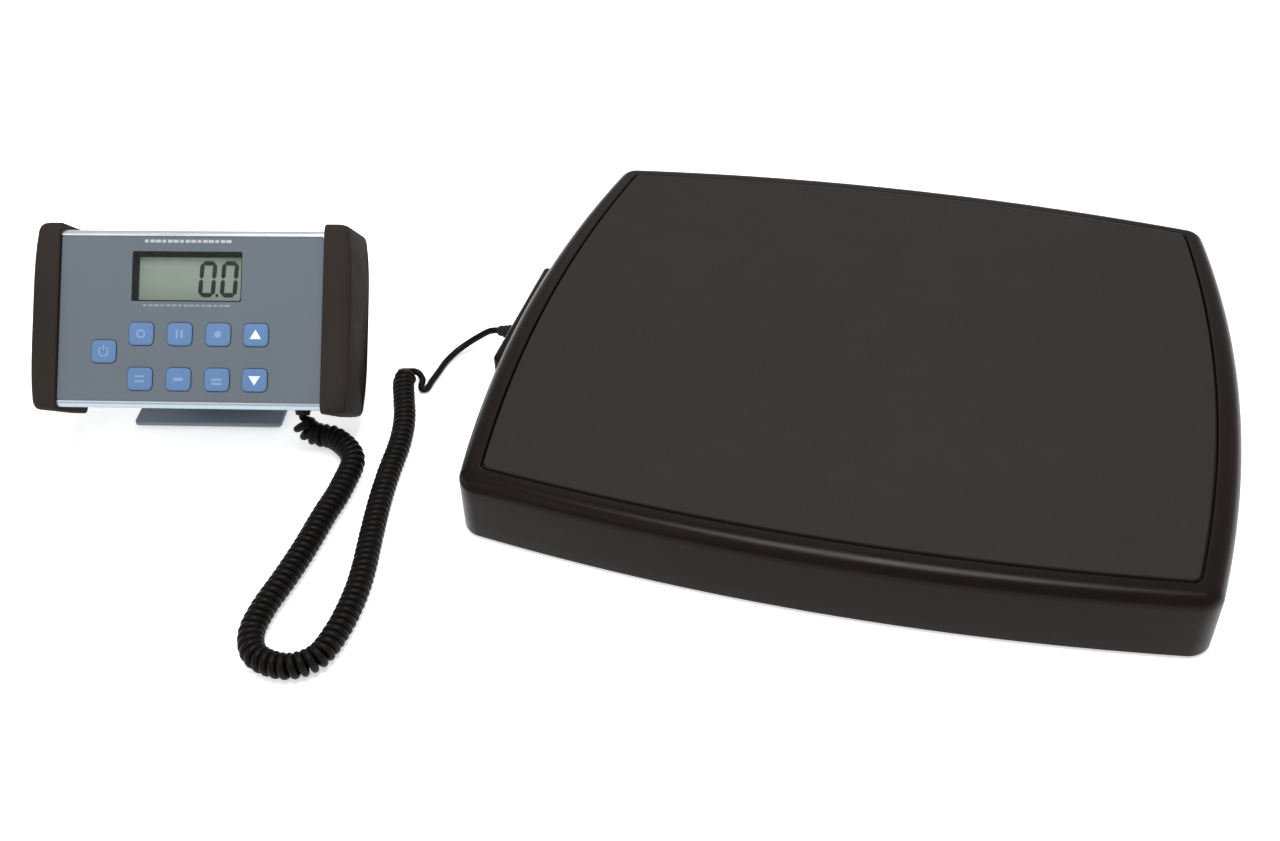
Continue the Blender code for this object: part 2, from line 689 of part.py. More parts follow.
def smooth_route(points, step):
    """Points about a step apart on a smooth curve through the given ones, in metres."""
    given = [Vector(p) * MM for p in points]
    ends = [2 * given[0] - given[1], *given, 2 * given[-1] - given[-2]]
    fine = []
    for before, start, end, after in zip(ends, ends[1:], ends[2:], ends[3:]):
        for i in range(12):
            t = i / 12
            bend = 2 * before - 5 * start + 4 * end - after
            twist = 3 * start - before - 3 * end + after
            fine.append(0.5 * (2 * start + (end - before) * t + bend * t * t + twist * t * t * t))
    fine.append(given[-1])
    length = sum((b - a).length for a, b in zip(fine, fine[1:]))
    count = max(3, round(length / step))
    route, walked, target = [fine[0]], 0.0, 1
    for a, b in zip(fine, fine[1:]):
        part = (b - a).length
        while target < count and walked + part >= target * length / count:
            route.append(a.lerp(b, (target * length / count - walked) / part))
            target += 1
        walked += part
    return [*route, fine[-1]]


def tube(name, points, radii, step, mat):
    """A round tube along the smooth route through the points, from one radius to the other, with closed ends."""
    curve = bpy.data.curves.new(name, "CURVE")
    curve.dimensions = "3D"
    curve.bevel_depth = radii[0]
    curve.bevel_resolution = 2
    curve.use_fill_caps = True
    route = smooth_route(points, step)
    spline = curve.splines.new("POLY")
    spline.points.add(len(route) - 1)
    for number, (point, place) in enumerate(zip(spline.points, route)):
        point.co = (*place, 1.0)
        point.radius = 1 + (radii[1] / radii[0] - 1) * number / (len(route) - 1)
    curve.materials.append(mat)
    obj = bpy.data.objects.new(name, curve)
    bpy.context.scene.collection.objects.link(obj)
    return obj


def make_cord(mats, tilt):
    """The curly cord, as its outer shape, with its straight end at the platform and its gland on the display."""
    gland = turned([(3.6 * MM, -GLAND_HEIGHT), (3.9 * MM, -GLAND_HEIGHT + 1 * MM), (3.9 * MM, 0)], 16)
    add("display_grommet", gland, mats["rubber"], tilt, on_display(GLAND_U, GLAND_DEPTH, GLAND_TOP))
    tube("coil_rise", COIL_RISE, (COIL_RADIUS[0], COIL_RADIUS[0]), 3 * MM, mats["cord"])
    tube("coil_run", COIL_RUN, COIL_RADIUS, 6 * MM, mats["cord"])
    tube("platform_tail", PLATFORM_TAIL, (CORD_RADIUS, CORD_RADIUS), 2 * MM, mats["cord"])


def main():
    clear_scene()
    mats = make_materials()
    platform = empty("platform_frame", (PLATFORM_X, 0, 0))
    make_base(mats, platform)
    make_cable_housing(mats, platform)
    make_deck(mats, platform)

    rise = PIVOT_V * math.cos(TILT) - PIVOT_DEPTH * math.sin(TILT)
    behind = PIVOT_V * math.sin(TILT) + PIVOT_DEPTH * math.cos(TILT)
    pivot = FACE_FOOT + Vector((-behind * math.sin(YAW), behind * math.cos(YAW), rise))
    stand = empty("stand_frame", pivot, (0, 0, YAW))
    tilt = empty("tilt_axis", (0, 0, 0), (-TILT, 0, 0), stand)
    make_display_body(mats, tilt)
    make_front(mats, tilt)
    make_battery_box(mats, tilt)
    make_tilt_joint(mats, tilt, stand)
    make_cord(mats, tilt)


main()
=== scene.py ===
"""Looks for the animal weighing scale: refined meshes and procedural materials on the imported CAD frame."""

import json
import math

import bmesh
import bpy
from mathutils import Matrix, Vector


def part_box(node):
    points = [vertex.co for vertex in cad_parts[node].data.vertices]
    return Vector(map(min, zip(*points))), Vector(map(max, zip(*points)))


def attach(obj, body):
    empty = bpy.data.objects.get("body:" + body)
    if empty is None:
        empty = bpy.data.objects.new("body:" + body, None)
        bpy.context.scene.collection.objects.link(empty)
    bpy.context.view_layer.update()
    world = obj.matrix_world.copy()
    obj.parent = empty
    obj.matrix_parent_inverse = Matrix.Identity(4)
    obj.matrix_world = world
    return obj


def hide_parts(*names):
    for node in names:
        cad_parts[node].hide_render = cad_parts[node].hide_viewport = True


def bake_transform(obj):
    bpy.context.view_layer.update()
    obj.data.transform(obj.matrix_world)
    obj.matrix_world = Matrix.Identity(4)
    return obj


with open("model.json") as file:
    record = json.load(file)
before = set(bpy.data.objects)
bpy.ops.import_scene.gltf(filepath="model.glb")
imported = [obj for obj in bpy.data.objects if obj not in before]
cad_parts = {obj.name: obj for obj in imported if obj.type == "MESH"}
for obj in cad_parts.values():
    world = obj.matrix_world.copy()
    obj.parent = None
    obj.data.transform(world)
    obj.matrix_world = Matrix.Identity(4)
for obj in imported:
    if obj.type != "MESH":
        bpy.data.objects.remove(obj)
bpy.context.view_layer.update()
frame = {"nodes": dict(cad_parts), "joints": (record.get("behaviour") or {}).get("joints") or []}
scene = bpy.context.scene

MM = 0.001

# How far a cutter runs past what it cuts, and the angle in degrees above which an edge stays sharp.
PAST = 5 * MM
SMOOTH_ANGLE = 32

# Camera, fitted to the platform's outline: places in metres, roll in radians, lens in millimetres.
CAMERA_AT = Vector((0.1663, -0.5959, 0.4676))
LOOK_AT = Vector((0.0058, -0.0463, 0.0))
CAMERA_ROLL = -0.0358
CAMERA_LENS = 40.36

# Platform, as in the CAD, but with a rounder rim.
PLATFORM_X = 113 * MM
PLATFORM_WIDTH = 362 * MM
PLATFORM_DEPTH = 320 * MM
BULGE_X = 14 * MM
BULGE_Y = 13 * MM
CORNER_RADIUS = 8.5 * MM
SMALLEST_CORNER = 3 * MM
MAT_TOP = 36 * MM
MAT_EDGE = 0.9 * MM
MAT_GAP = 0.9 * MM
RIM_TOP = 35.4 * MM
RIM_FILLET = 7.2 * MM
RIM_INSET = 11 * MM
RIM_EDGE = 1.1 * MM
SKIRT_BOTTOM = 1.2 * MM
SKIRT_TAPER = 0.2 * MM
SKIRT_HEM = 0.8 * MM
COVER_WALL = 3 * MM
COVER_ROOF = 31 * MM
RECESS_FLOOR = 33.5 * MM
HOUSING_OUT = 188 * MM
HOUSING_IN = 174.5 * MM
HOUSING_Y = (-40 * MM, 48 * MM)
HOUSING_Z = (8.9 * MM, 23 * MM)
NOTCH_TOP = 25 * MM

# Display, as in the CAD.
PIVOT_V = 30 * MM
PIVOT_DEPTH = 48 * MM
FACE_WIDTH = 132 * MM
FACE_HEIGHT = 88 * MM
DISPLAY_DEPTH = 34 * MM
DISPLAY_WALL = 2 * MM
FACE_RECESS = 1.2 * MM
OVERLAY_FRONT = 0.4 * MM
LIP = 3 * MM
BOTTOM_TAPER = 3.3 * MM
CAP_WIDTH = 11 * MM
CAP_PROUD = 3.5 * MM
CAP_BELOW = 1.8 * MM
CAP_FRONT = 2 * MM
CAP_BACK = 36.4 * MM
CAP_BOW = 2.6 * MM
CAP_GAP = 0.3 * MM
WINDOW_CENTRE = (-2.35 * MM, 65 * MM)
WINDOW_HALF = (27.65 * MM, 12.4 * MM)
DASHES = 15
DASH_PITCH = 2.95 * MM
LCD_DEPTH = 5 * MM
KEY_HALF = (6.2 * MM, 5.6 * MM)
SIGN_DEPTHS = (-0.43 * MM, -0.37 * MM)
ARROW_KEYS = {"up_key": 1, "down_key": -1}
# The bars in the keys' signs, in millimetres: middle across and up, half width and half height.
SIGN_BARS = {
    "power_key": [(0, 1.9, 0.35, 1.5)],
    "hold_key": [(-1.2, 0, 0.55, 2), (1.2, 0, 0.55, 2)],
    "enter_key": [(0, 0, 2.6, 0.6), (0, -2, 2.6, 0.6)],
    "tare_key": [(0, 0, 2.4, 0.8)],
    "clear_key": [(0, 1.2, 2.4, 0.5), (0, -1.2, 2.4, 0.5)],
}
DIGIT_V = 55.4 * MM
DIGIT_SIZE = (8.6 * MM, 18.0 * MM)
DIGIT_STARTS = (1.6 * MM, 12.6 * MM)
SEGMENT_THICKNESS = 0.08 * MM
DOOR = (-56 * MM, 56 * MM, 40 * MM, 78 * MM)

# Stand, as in the CAD.
BRACKET_SIDES = (-42.5 * MM, 34.5 * MM)
BRACKET_FRONT = 31 * MM
BRACKET_BACK = 44 * MM
BRACKET_SHEET = 2.5 * MM
PAD_THICKNESS = 1.5 * MM
EAR_GAP = 31 * MM
EAR_RADIUS = 8 * MM
BOLT_RADIUS = 3 * MM
KNOB_LENGTH = 11.5 * MM

# Cord: the CAD's routes through listed points, in millimetres.
WIRE_RADIUS = 1.75 * MM
COIL_RADIUS = (6.2 * MM, 5.75 * MM)
COIL_PITCH = 3.66 * MM
POINTS_PER_TURN = 16
GLAND_U = 50.5 * MM
GLAND_DEPTH = 24 * MM
GLAND_TOP = 1.9 * MM
COIL_ROUTE = [
    (-155, -101.4, 15.8), (-154.4, -102.5, 13.4), (-153.3, -102.8, 11), (-151.9, -102.3, 8.7),
    (-149.4, -101.9, 7.1), (-147.2, -101.8, 6.65), (-144.6, -101.8, 6.6), (-141, -101.8, 6.6),
    (-137.6, -102.9, 6.6), (-131.8, -106.2, 6.6), (-126.4, -110.6, 6.6), (-122.6, -116, 6.5),
    (-121.1, -122, 6.5), (-120.3, -130.6, 6.5), (-119.6, -142, 6.4), (-119.8, -156, 6.4),
    (-119.2, -179, 6.3), (-119.6, -199, 6.3), (-120.6, -219, 6.3), (-118.6, -234, 6.2),
    (-110.6, -244.4, 6.2), (-96, -246.6, 6.2), (-85.6, -239, 6.2), (-83, -224, 6.2),
    (-83.6, -206, 6.2), (-86.4, -188, 6.1), (-92.6, -163, 6.1), (-97.8, -141, 6.1),
    (-101.8, -120, 6.1), (-105.2, -98, 6), (-110, -80, 6), (-117.2, -63, 6),
    (-122.4, -51, 6), (-123, -42.4, 6),
]
PLATFORM_TAIL = [
    (-123, -41.8, 6), (-122.7, -39.8, 6), (-120.8, -38.6, 5.8), (-118, -38.8, 5.3),
    (-115.6, -41.2, 4.3), (-114.6, -44.6, 3.2), (-114.2, -47.8, 2.3), (-112.4, -49.8, 2),
    (-110.6, -48, 2), (-110.5, -42, 2), (-109.9, -32.7, 2), (-109.2, -23.5, 2.1),
    (-106.2, -14.8, 3.2), (-100.9, -8.8, 5.8), (-94.6, -6.4, 9.8), (-89.4, -6, 13.2),
    (-85, -6, 14.5),
]


# ------------ frame


def joint(name):
    """The joint's row in the frame."""
    return next(j for j in frame["joints"] if j["name"] == name)


def display_matrix():
    """Display coordinates: u across the face, depth behind it, v up it, from its lower edge's middle."""
    across = Vector(joint("display_tilt")["axis"])
    inward = Vector(joint("power_key_press")["axis"])
    up = Vector(joint("battery_door_slide")["axis"])
    origin = Vector(joint("display_tilt")["pos_m"]) - PIVOT_DEPTH * inward - PIVOT_V * up
    matrix = Matrix((across, inward, up)).transposed().to_4x4()
    matrix.translation = origin
    return matrix


def stand_matrix():
    """Stand coordinates: x along the tilt axis, y back, z up, from the axis's middle."""
    across, up = Vector(joint("display_tilt")["axis"]), Vector((0, 0, 1))
    matrix = Matrix((across, up.cross(across), up)).transposed().to_4x4()
    matrix.translation = Vector(joint("display_tilt")["pos_m"])
    return matrix


DISPLAY = display_matrix()
STAND = stand_matrix()
PLATFORM = Matrix.Translation((PLATFORM_X, 0, 0))


def middle_of(node):
    """The middle of a CAD node's box."""
    low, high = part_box(node)
    return (low + high) / 2


# ------------ materials


class Look:
    """A material under construction: its nodes, its links and its Principled shader."""

    def __init__(self, name):
        self.material = bpy.data.materials.new(name)
        self.material.use_nodes = True
        self.nodes = self.material.node_tree.nodes
        self.links = self.material.node_tree.links
        self.shader = self.nodes["Principled BSDF"]
        self.place = self.node("TexCoord").outputs["Object"]

    def node(self, kind, inputs=(), **settings):
        """A shader node with values or links on its inputs."""
        made = self.nodes.new("ShaderNode" + kind)
        for key, value in settings.items():
            setattr(made, key, value)
        for key, value in dict(inputs).items():
            if isinstance(value, bpy.types.NodeSocket):
                self.links.new(value, made.inputs[key])
            else:
                made.inputs[key].default_value = value
        return made

    def noise(self, scale, detail=4.0, stretch=(1, 1, 1)):
        place = self.node("Mapping", {"Vector": self.place, "Scale": stretch}).outputs["Vector"]
        inputs = {"Vector": place, "Scale": scale, "Detail": detail, "Roughness": 0.55}
        return self.node("TexNoise", inputs).outputs["Fac"]

    def cells(self, scale):
        inputs = {"Vector": self.place, "Scale": scale, "Smoothness": 0.6}
        return self.node("TexVoronoi", inputs, feature="SMOOTH_F1").outputs["Distance"]

    def math(self, operation, first, second):
        return self.node("Math", {0: first, 1: second}, operation=operation).outputs[0]

    def spread(self, value, low=0, high=1, start=0.3, end=0.7):
        inputs = {"Value": value, "From Min": start, "From Max": end, "To Min": low, "To Max": high}
        return self.node("MapRange", inputs).outputs["Result"]

    def blend(self, share, first, second):
        made = self.node("Mix", {"Factor": share}, data_type="RGBA")
        for socket, value in zip((made.inputs[6], made.inputs[7]), (first, second)):
            if isinstance(value, bpy.types.NodeSocket):
                self.links.new(value, socket)
            else:
                socket.default_value = (*value, 1.0)
        return made.outputs[2]

    def edges(self, width):
        """Near 1 along edges sharper than the rounding of this width, and near 0 away from them."""
        rounded = self.node("Bevel", {"Radius": width}, samples=6).outputs["Normal"]
        flat = self.node("NewGeometry").outputs["Normal"]
        dot = self.node("VectorMath", {0: rounded, 1: flat}, operation="DOT_PRODUCT")
        return self.spread(dot.outputs["Value"], 1.0, 0.0, 0.8, 0.995)

    def bump(self, height, distance, strength=1.0):
        made = self.node("Bump", {"Height": height, "Distance": distance, "Strength": strength})
        self.links.new(made.outputs["Normal"], self.shader.inputs["Normal"])

    def colour(self, value):
        self.links.new(value, self.shader.inputs["Base Color"])

    def rough(self, value):
        self.links.new(value, self.shader.inputs["Roughness"])

    def set(self, **values):
        for key, value in values.items():
            self.shader.inputs[key.replace("_", " ")].default_value = value
        return self


def moulded(name, dark, light, rough=(0.45, 0.55), grain=1600, depth=0.03 * MM, wear=None, gloss=0.5):
    """Moulded plastic or rubber: a fine grain, faint clouds of colour and gloss, and rubbed edges."""
    look = Look(name)
    clouds = look.noise(14, 5)
    smudges = look.noise(60, 6)
    colour = look.blend(look.spread(clouds), dark, light)
    if wear:
        rubbed = look.math("MULTIPLY", look.edges(0.8 * MM), look.spread(smudges, 0.1, 0.9))
        colour = look.blend(rubbed, colour, wear)
    look.colour(colour)
    look.rough(look.spread(smudges, *rough))
    look.bump(look.noise(grain, 2), depth)
    return look.set(Specular_IOR_Level=gloss)


def metal(name, dark, light, rough, stretch=(1, 1, 1), grain=900, depth=0.01 * MM):
    """Bare, brushed or plated metal, with its grain drawn out along the stretch's low axis."""
    look = Look(name)
    clouds = look.noise(20, 5)
    lines = look.noise(grain, 3, stretch)
    mixed = look.math("ADD", look.math("MULTIPLY", clouds, 0.5), look.math("MULTIPLY", lines, 0.5))
    look.colour(look.blend(look.spread(mixed), dark, light))
    look.rough(look.spread(lines, *rough))
    look.bump(lines, depth)
    return look.set(Metallic=1.0)


def make_looks():
    """Every look by its short name."""
    return {
        "cover": moulded("platform_plastic", (0.0046, 0.0018, 0.001), (0.006, 0.003, 0.002),
                         (0.27, 0.34), 1500, 0.01 * MM, (0.012, 0.009, 0.008), 0.12),
        "rubber": moulded("foot_rubber", (0.01, 0.01, 0.01), (0.017, 0.016, 0.016), (0.7, 0.85), 900,
                          gloss=0.2),
        "cord": moulded("cord_jacket", (0.0045, 0.0036, 0.0033), (0.0065, 0.0056, 0.0052), (0.32, 0.44),
                        1400, 0.01 * MM, gloss=0.08),
        "cap": moulded("cap_plastic", (0.025, 0.0205, 0.018), (0.031, 0.0258, 0.0228), (0.55, 0.65),
                       2400, 0.03 * MM, (0.034, 0.031, 0.029), 0.02),
        "nylon": moulded("inner_nylon", (0.016, 0.016, 0.016), (0.028, 0.028, 0.028), (0.5, 0.65), 1100,
                         gloss=0.3),
        "board": moulded("board_lacquer", (0.01, 0.11, 0.045), (0.02, 0.17, 0.07), (0.3, 0.45), 500,
                         0.04 * MM),
        "jacket": moulded("battery_sleeve", (0.03, 0.03, 0.035), (0.1, 0.08, 0.05), (0.2, 0.35), 300),
        "steel": metal("zinc_plate", (0.42, 0.43, 0.44), (0.6, 0.61, 0.62), (0.3, 0.5)),
        "aluminium": case_look(),
        "bracket": moulded("powder_coat", (0.145, 0.178, 0.218), (0.175, 0.212, 0.255), (0.45, 0.6),
                           1300, 0.05 * MM, (0.25, 0.27, 0.29), 0.3),
        "mat": mat_look(),
        "overlay": overlay_look(),
        "key": moulded("blue_key", (0.088, 0.168, 0.325), (0.105, 0.195, 0.36), (0.4, 0.5), 1800,
                       0.015 * MM, (0.075, 0.14, 0.27), 0.25),
        "mark": moulded("key_print", (0.62, 0.7, 0.8), (0.72, 0.79, 0.87), grain=1800, depth=0.01 * MM),
        "soft_mark": moulded("soft_key_print", (0.17, 0.27, 0.46), (0.21, 0.31, 0.5), grain=1800,
                             depth=0.01 * MM, gloss=0.25),
        "print": moulded("panel_print", (0.34, 0.37, 0.4), (0.45, 0.48, 0.51), grain=1500,
                         depth=0.01 * MM, gloss=0.25),
        "faint_print": moulded("faint_panel_print", (0.2, 0.23, 0.25), (0.26, 0.29, 0.31), grain=1500,
                               depth=0.01 * MM, gloss=0.25),
        "lcd": lcd_look(),
        "digit": moulded("lcd_segment", (0.01, 0.016, 0.011), (0.016, 0.024, 0.017), (0.3, 0.4), 1200,
                         0.002 * MM, gloss=0.2),
        # The well's own dark plastic, also used for the painted shade at the reflector's left and upper
        # edges.
        "bezel_and_painted_shade": moulded("lcd_bezel_and_painted_shade", (0.004, 0.006, 0.0055), (0.008, 0.01, 0.009), (0.5, 0.6),
                         gloss=0.1),
        "lens": lens_look(),
    }


def case_look():
    """Satin anodised extrusion, brushed along its length, with a painted shade and reflection on the lower
    lip, which is painted bluer and duller.
    """
    look = metal("anodised_extrusion_and_painted_lip_shade", (0.80, 0.81, 0.83), (0.9, 0.91, 0.93), (0.24, 0.34),
                 (0.02, 1, 1), 1600, 0.006 * MM)
    height = look.node("SeparateXYZ", {"Vector": look.place}).outputs["Z"]
    # Painted shade and reflection: the lowest 2 to 4 mm of the face, the lower lip, is painted a darker
    # blue-grey.
    painted_lip_shade = look.math("ADD", look.math("MULTIPLY", look.noise(30, 3), 0.6 * MM), height)
    bright = look.shader.inputs["Base Color"].links[0].from_socket
    look.colour(look.blend(look.spread(painted_lip_shade, 1, 0, 2 * MM, 4 * MM), bright, (0.35, 0.43, 0.49)))
    return look


def mat_look():
    """Black rubber sheet with a fine pebbled face, dulled a little by dust and by wear."""
    look = Look("pebbled_rubber")
    pebbles = look.cells(420)
    grain = look.noise(1800, 2)
    worn = look.noise(7, 6)
    dusty = look.blend(look.spread(worn), (0.0235, 0.0222, 0.0205), (0.0250, 0.0236, 0.0218))
    look.colour(look.blend(look.spread(pebbles, 0.2, 0, 0.2, 0.6), dusty, (0.030, 0.0285, 0.0265)))
    look.rough(look.spread(look.noise(40, 5), 0.66, 0.8))
    height = look.math("ADD", look.math("MULTIPLY", pebbles, -1.0), look.math("MULTIPLY", grain, 0.25))
    look.bump(height, 0.1 * MM, 0.6)
    return look.set(Specular_IOR_Level=0.06)


def overlay_look():
    """Screen-printed polyester: a fine satin grain and a slightly uneven grey."""
    look = Look("printed_polyester")
    clouds = look.noise(16, 5)
    look.colour(look.blend(look.spread(clouds), (0.108, 0.129, 0.150), (0.117, 0.140, 0.164)))
    look.rough(look.spread(look.noise(90, 5), 0.4, 0.52))
    look.bump(look.noise(2600, 2), 0.01 * MM)
    return look.set(Specular_IOR_Level=0.15)


def lcd_look():
    """The reflector behind a liquid crystal: grey-green, with a fine sparkle and faint clouds."""
    look = Look("lcd_reflector")
    clouds = look.noise(45, 4)
    colour = look.blend(look.spread(clouds), (0.305, 0.385, 0.320), (0.355, 0.425, 0.375))
    look.colour(look.blend(look.spread(look.noise(2500, 1), 0, 0.25), colour, (0.43, 0.49, 0.43)))
    look.rough(look.spread(look.noise(70, 3), 0.3, 0.42))
    look.bump(look.noise(3000, 1), 0.004 * MM)
    return look.set(Specular_IOR_Level=0.2)


def lens_look():
    """A clear hard-coated window with faint smears: all that it adds is a little gloss."""
    look = Look("clear_window")
    look.rough(look.spread(look.noise(50, 5), 0.02, 0.1))
    smears = look.spread(look.noise(30, 3))
    look.colour(look.blend(smears, (0.02, 0.025, 0.022), (0.03, 0.036, 0.032)))
    look.bump(look.noise(500, 1), 0.001 * MM)
    return look.set(Alpha=0.14)


LOOKS = make_looks()


# ------------ meshes


def dress(obj, look):
    """Gives the object that look alone."""
    obj.data.materials.clear()
    obj.data.materials.append(LOOKS[look].material)


def in_scene(name, data):
    """A new object in the scene that shows the data."""
    obj = bpy.data.objects.new(name, data)
    scene.collection.objects.link(obj)
    return obj


def mesh_of(name, bm):
    """A mesh with bm's faces, all of them facing outwards. It uses bm up."""
    bmesh.ops.recalc_face_normals(bm, faces=bm.faces)
    mesh = bpy.data.meshes.new(name)
    bm.to_mesh(mesh)
    bm.free()
    return mesh


def smooth_shaded(obj, angle=SMOOTH_ANGLE):
    """Smooth shading, with sharp edges where two faces meet at more than the angle."""
    obj.data.shade_smooth()
    obj.data.set_sharp_from_angle(angle=math.radians(angle))
    return obj


def piece(name, bm, look, body, matrix=PLATFORM, smooth=SMOOTH_ANGLE, replaces=()):
    """A finished piece from bm, whose points are in the matrix's coordinates. It rides on the body."""
    obj = smooth_shaded(in_scene(name, mesh_of(name, bm)), smooth)
    obj.matrix_world = matrix
    dress(obj, look)
    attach(obj, body)
    if replaces:
        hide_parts(*replaces)
    return obj


def on_display(name, bm, look, smooth=SMOOTH_ANGLE, replaces=()):
    """A finished piece of the display's own body, from bm in display coordinates."""
    return piece(name, bm, look, "display", DISPLAY, smooth, replaces)


def cut(obj, cutters):
    """Takes the cutters, which are in the object's coordinates, away from its mesh."""
    tools = []
    for bm in cutters:
        tool = in_scene("cutter", mesh_of("cutter", bm))
        tool.matrix_world = obj.matrix_world
        tools.append(tool)
        boolean = obj.modifiers.new("Cut", "BOOLEAN")
        boolean.object = tool
        boolean.operation = "DIFFERENCE"
    bpy.context.view_layer.update()
    graph = bpy.context.evaluated_depsgraph_get()
    result = bpy.data.meshes.new_from_object(obj.evaluated_get(graph))
    obj.modifiers.clear()
    obj.data = result
    for tool in tools:
        bpy.data.objects.remove(tool)
    return smooth_shaded(obj)


def loft(rings, round_hole=False, bm=None):
    """A body through like rings, closed across its ends. Round a hole, the last ring joins the first."""
    bm = bm or bmesh.new()
    loops = [[bm.verts.new(p) for p in ring] for ring in rings]
    for low, high in zip(loops, [*loops[1:], loops[0]] if round_hole else loops[1:]):
        for i in range(len(low)):
            j = (i + 1) % len(low)
            bm.faces.new((low[i], low[j], high[j], high[i]))
    if not round_hole:
        bm.faces.new(loops[0])
        bm.faces.new(loops[-1])
    return bm


def turned(profile, sides=48, centre=(0, 0, 0), axis="Z", bm=None):
    """A body turned from (radius, height) pairs round an axis through the centre."""
    rings = []
    for radius, height in profile:
        ring = []
        for i in range(sides):
            a = 2 * math.pi * i / sides
            x, y = radius * math.cos(a), radius * math.sin(a)
            point = {"Z": (x, y, height), "X": (height, x, y), "Y": (y, height, x)}[axis]
            ring.append(tuple(p + c for p, c in zip(point, centre)))
        rings.append(ring)
    return loft(rings, bm=bm)


def block(low, high, bevel=0.0, segments=3, bm=None):
    """A box between two corners with rounded edges."""
    made = bmesh.new()
    bmesh.ops.create_cube(made, size=1.0)
    for v in made.verts:
        v.co = Vector(low[k] + (v.co[k] + 0.5) * (high[k] - low[k]) for k in range(3))
    if bevel:
        bmesh.ops.bevel(made, geom=made.edges[:], offset=bevel, segments=segments, profile=0.5,
                        affect="EDGES")
    if bm is None:
        return made
    mesh = bpy.data.meshes.new("block")
    made.to_mesh(mesh)
    made.free()
    bm.from_mesh(mesh)
    bpy.data.meshes.remove(mesh)
    return bm


def in_mm(*pairs):
    """Pairs of numbers in millimetres, turned into metres."""
    return [(first * MM, second * MM) for first, second in pairs]


def arc(centre, radius, start, end, steps):
    """Points on an arc between two angles in degrees, both ends included."""
    turns = [math.radians(start + (end - start) * i / steps) for i in range(steps + 1)]
    return [(centre[0] + radius * math.cos(a), centre[1] + radius * math.sin(a)) for a in turns]


def rounded_rectangle(half_x, half_y, radius, side_steps=1, corner_steps=6):
    """Points anticlockwise round a rectangle with round corners, from the right side's lower end."""
    flat_x, flat_y = half_x - radius, half_y - radius
    signs = ((1, 1), (-1, 1), (-1, -1), (1, -1))
    corners = [Vector((flat_x * sign_x, flat_y * sign_y)) for sign_x, sign_y in signs]
    points = []
    for quarter, corner in enumerate(corners):
        angle = quarter * math.pi / 2
        out = radius * Vector((math.cos(angle), math.sin(angle)))
        for step in range(1, side_steps):
            points.append(tuple(corners[quarter - 1].lerp(corner, step / side_steps) + out))
        points += arc(corner, radius, 90 * quarter, 90 * quarter + 90, corner_steps)
    return points


def platform_ring(inset, height):
    """The platform's outline at a height, set in: a rectangle whose sides swell at their middles."""
    half_x, half_y = PLATFORM_WIDTH / 2 - BULGE_X, PLATFORM_DEPTH / 2 - BULGE_Y
    radius = max(CORNER_RADIUS - inset, SMALLEST_CORNER)
    flat = rounded_rectangle(half_x - inset, half_y - inset, radius, side_steps=28, corner_steps=10)
    return [(x + BULGE_X * (1 - (y / half_y) ** 2) * x / half_x,
             y + BULGE_Y * (1 - (x / half_x) ** 2) * y / half_y, height) for x, y in flat]


# ------------ platform


def make_cover():
    """The moulded lid: skirt with draft, rounded rim, and the groove that the mat lies in."""
    side_top = RIM_TOP - RIM_FILLET
    inside = COVER_WALL + SKIRT_TAPER
    hem_top = SKIRT_BOTTOM + 2 * SKIRT_HEM
    profile = [(inside, COVER_ROOF), (inside, SKIRT_BOTTOM + SKIRT_HEM),
               (SKIRT_TAPER + 2 * SKIRT_HEM, SKIRT_BOTTOM)]
    profile += arc((SKIRT_TAPER + SKIRT_HEM, SKIRT_BOTTOM + SKIRT_HEM), SKIRT_HEM, 270, 180, 3)
    profile += [(SKIRT_TAPER * (1 - share), hem_top + (side_top - hem_top) * share) for share in (0.3, 0.65)]
    profile += arc((RIM_FILLET, side_top), RIM_FILLET, 180, 90, 9)
    profile += [(RIM_FILLET + (RIM_INSET - RIM_FILLET) * share, RIM_TOP) for share in (0.25, 0.5)]
    profile += arc((RIM_INSET - RIM_EDGE, RIM_TOP - RIM_EDGE), RIM_EDGE, 90, 0, 4)
    profile += [(RIM_INSET + 0.1 * MM, RECESS_FLOOR)]
    rings = [platform_ring(inset, height) for inset, height in profile]
    cover = piece("platform_cover", loft(rings), "cover", "deck", replaces=["deck_cover"])
    notch = block((-HOUSING_OUT - PAST, HOUSING_Y[0] - 2 * MM, -PAST),
                  (-HOUSING_IN + 6 * MM, HOUSING_Y[1] + 2 * MM, NOTCH_TOP))
    return cut(cover, [notch])


def make_mat():
    """The rubber mat: flat, with a softly rounded edge."""
    outer = RIM_INSET + MAT_GAP
    profile = [(outer, RECESS_FLOOR + 0.3 * MM)]
    profile += arc((outer + MAT_EDGE, MAT_TOP - MAT_EDGE), MAT_EDGE, 180, 90, 4)
    rings = [platform_ring(inset, height) for inset, height in profile]
    piece("platform_mat", loft(rings), "mat", "deck", replaces=["rubber_mat"])


def make_feet():
    """Rubber feet with a rounded tread and two grip rings."""
    edge = 1.6 * MM
    tread = in_mm((0.4, 1), (4, 1), (4.4, 0), (6.6, 0), (7, 0.5), (8.4, 0.5), (8.8, 0))
    for number in range(1, 5):
        low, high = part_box(f"foot_{number}")
        middle, radius, top = (low + high) / 2, (high.x - low.x) / 2, high.z
        profile = [*tread, *arc((radius - edge, edge), edge, -90, 0, 3)]
        profile += [(radius - 1 * MM, top - 0.4 * MM), (radius - 1.4 * MM, top)]
        piece(f"rubber_foot_{number}", turned(profile, 40, (middle.x, middle.y, 0)), "rubber", "base",
              Matrix.Identity(4), replaces=[f"foot_{number}"])


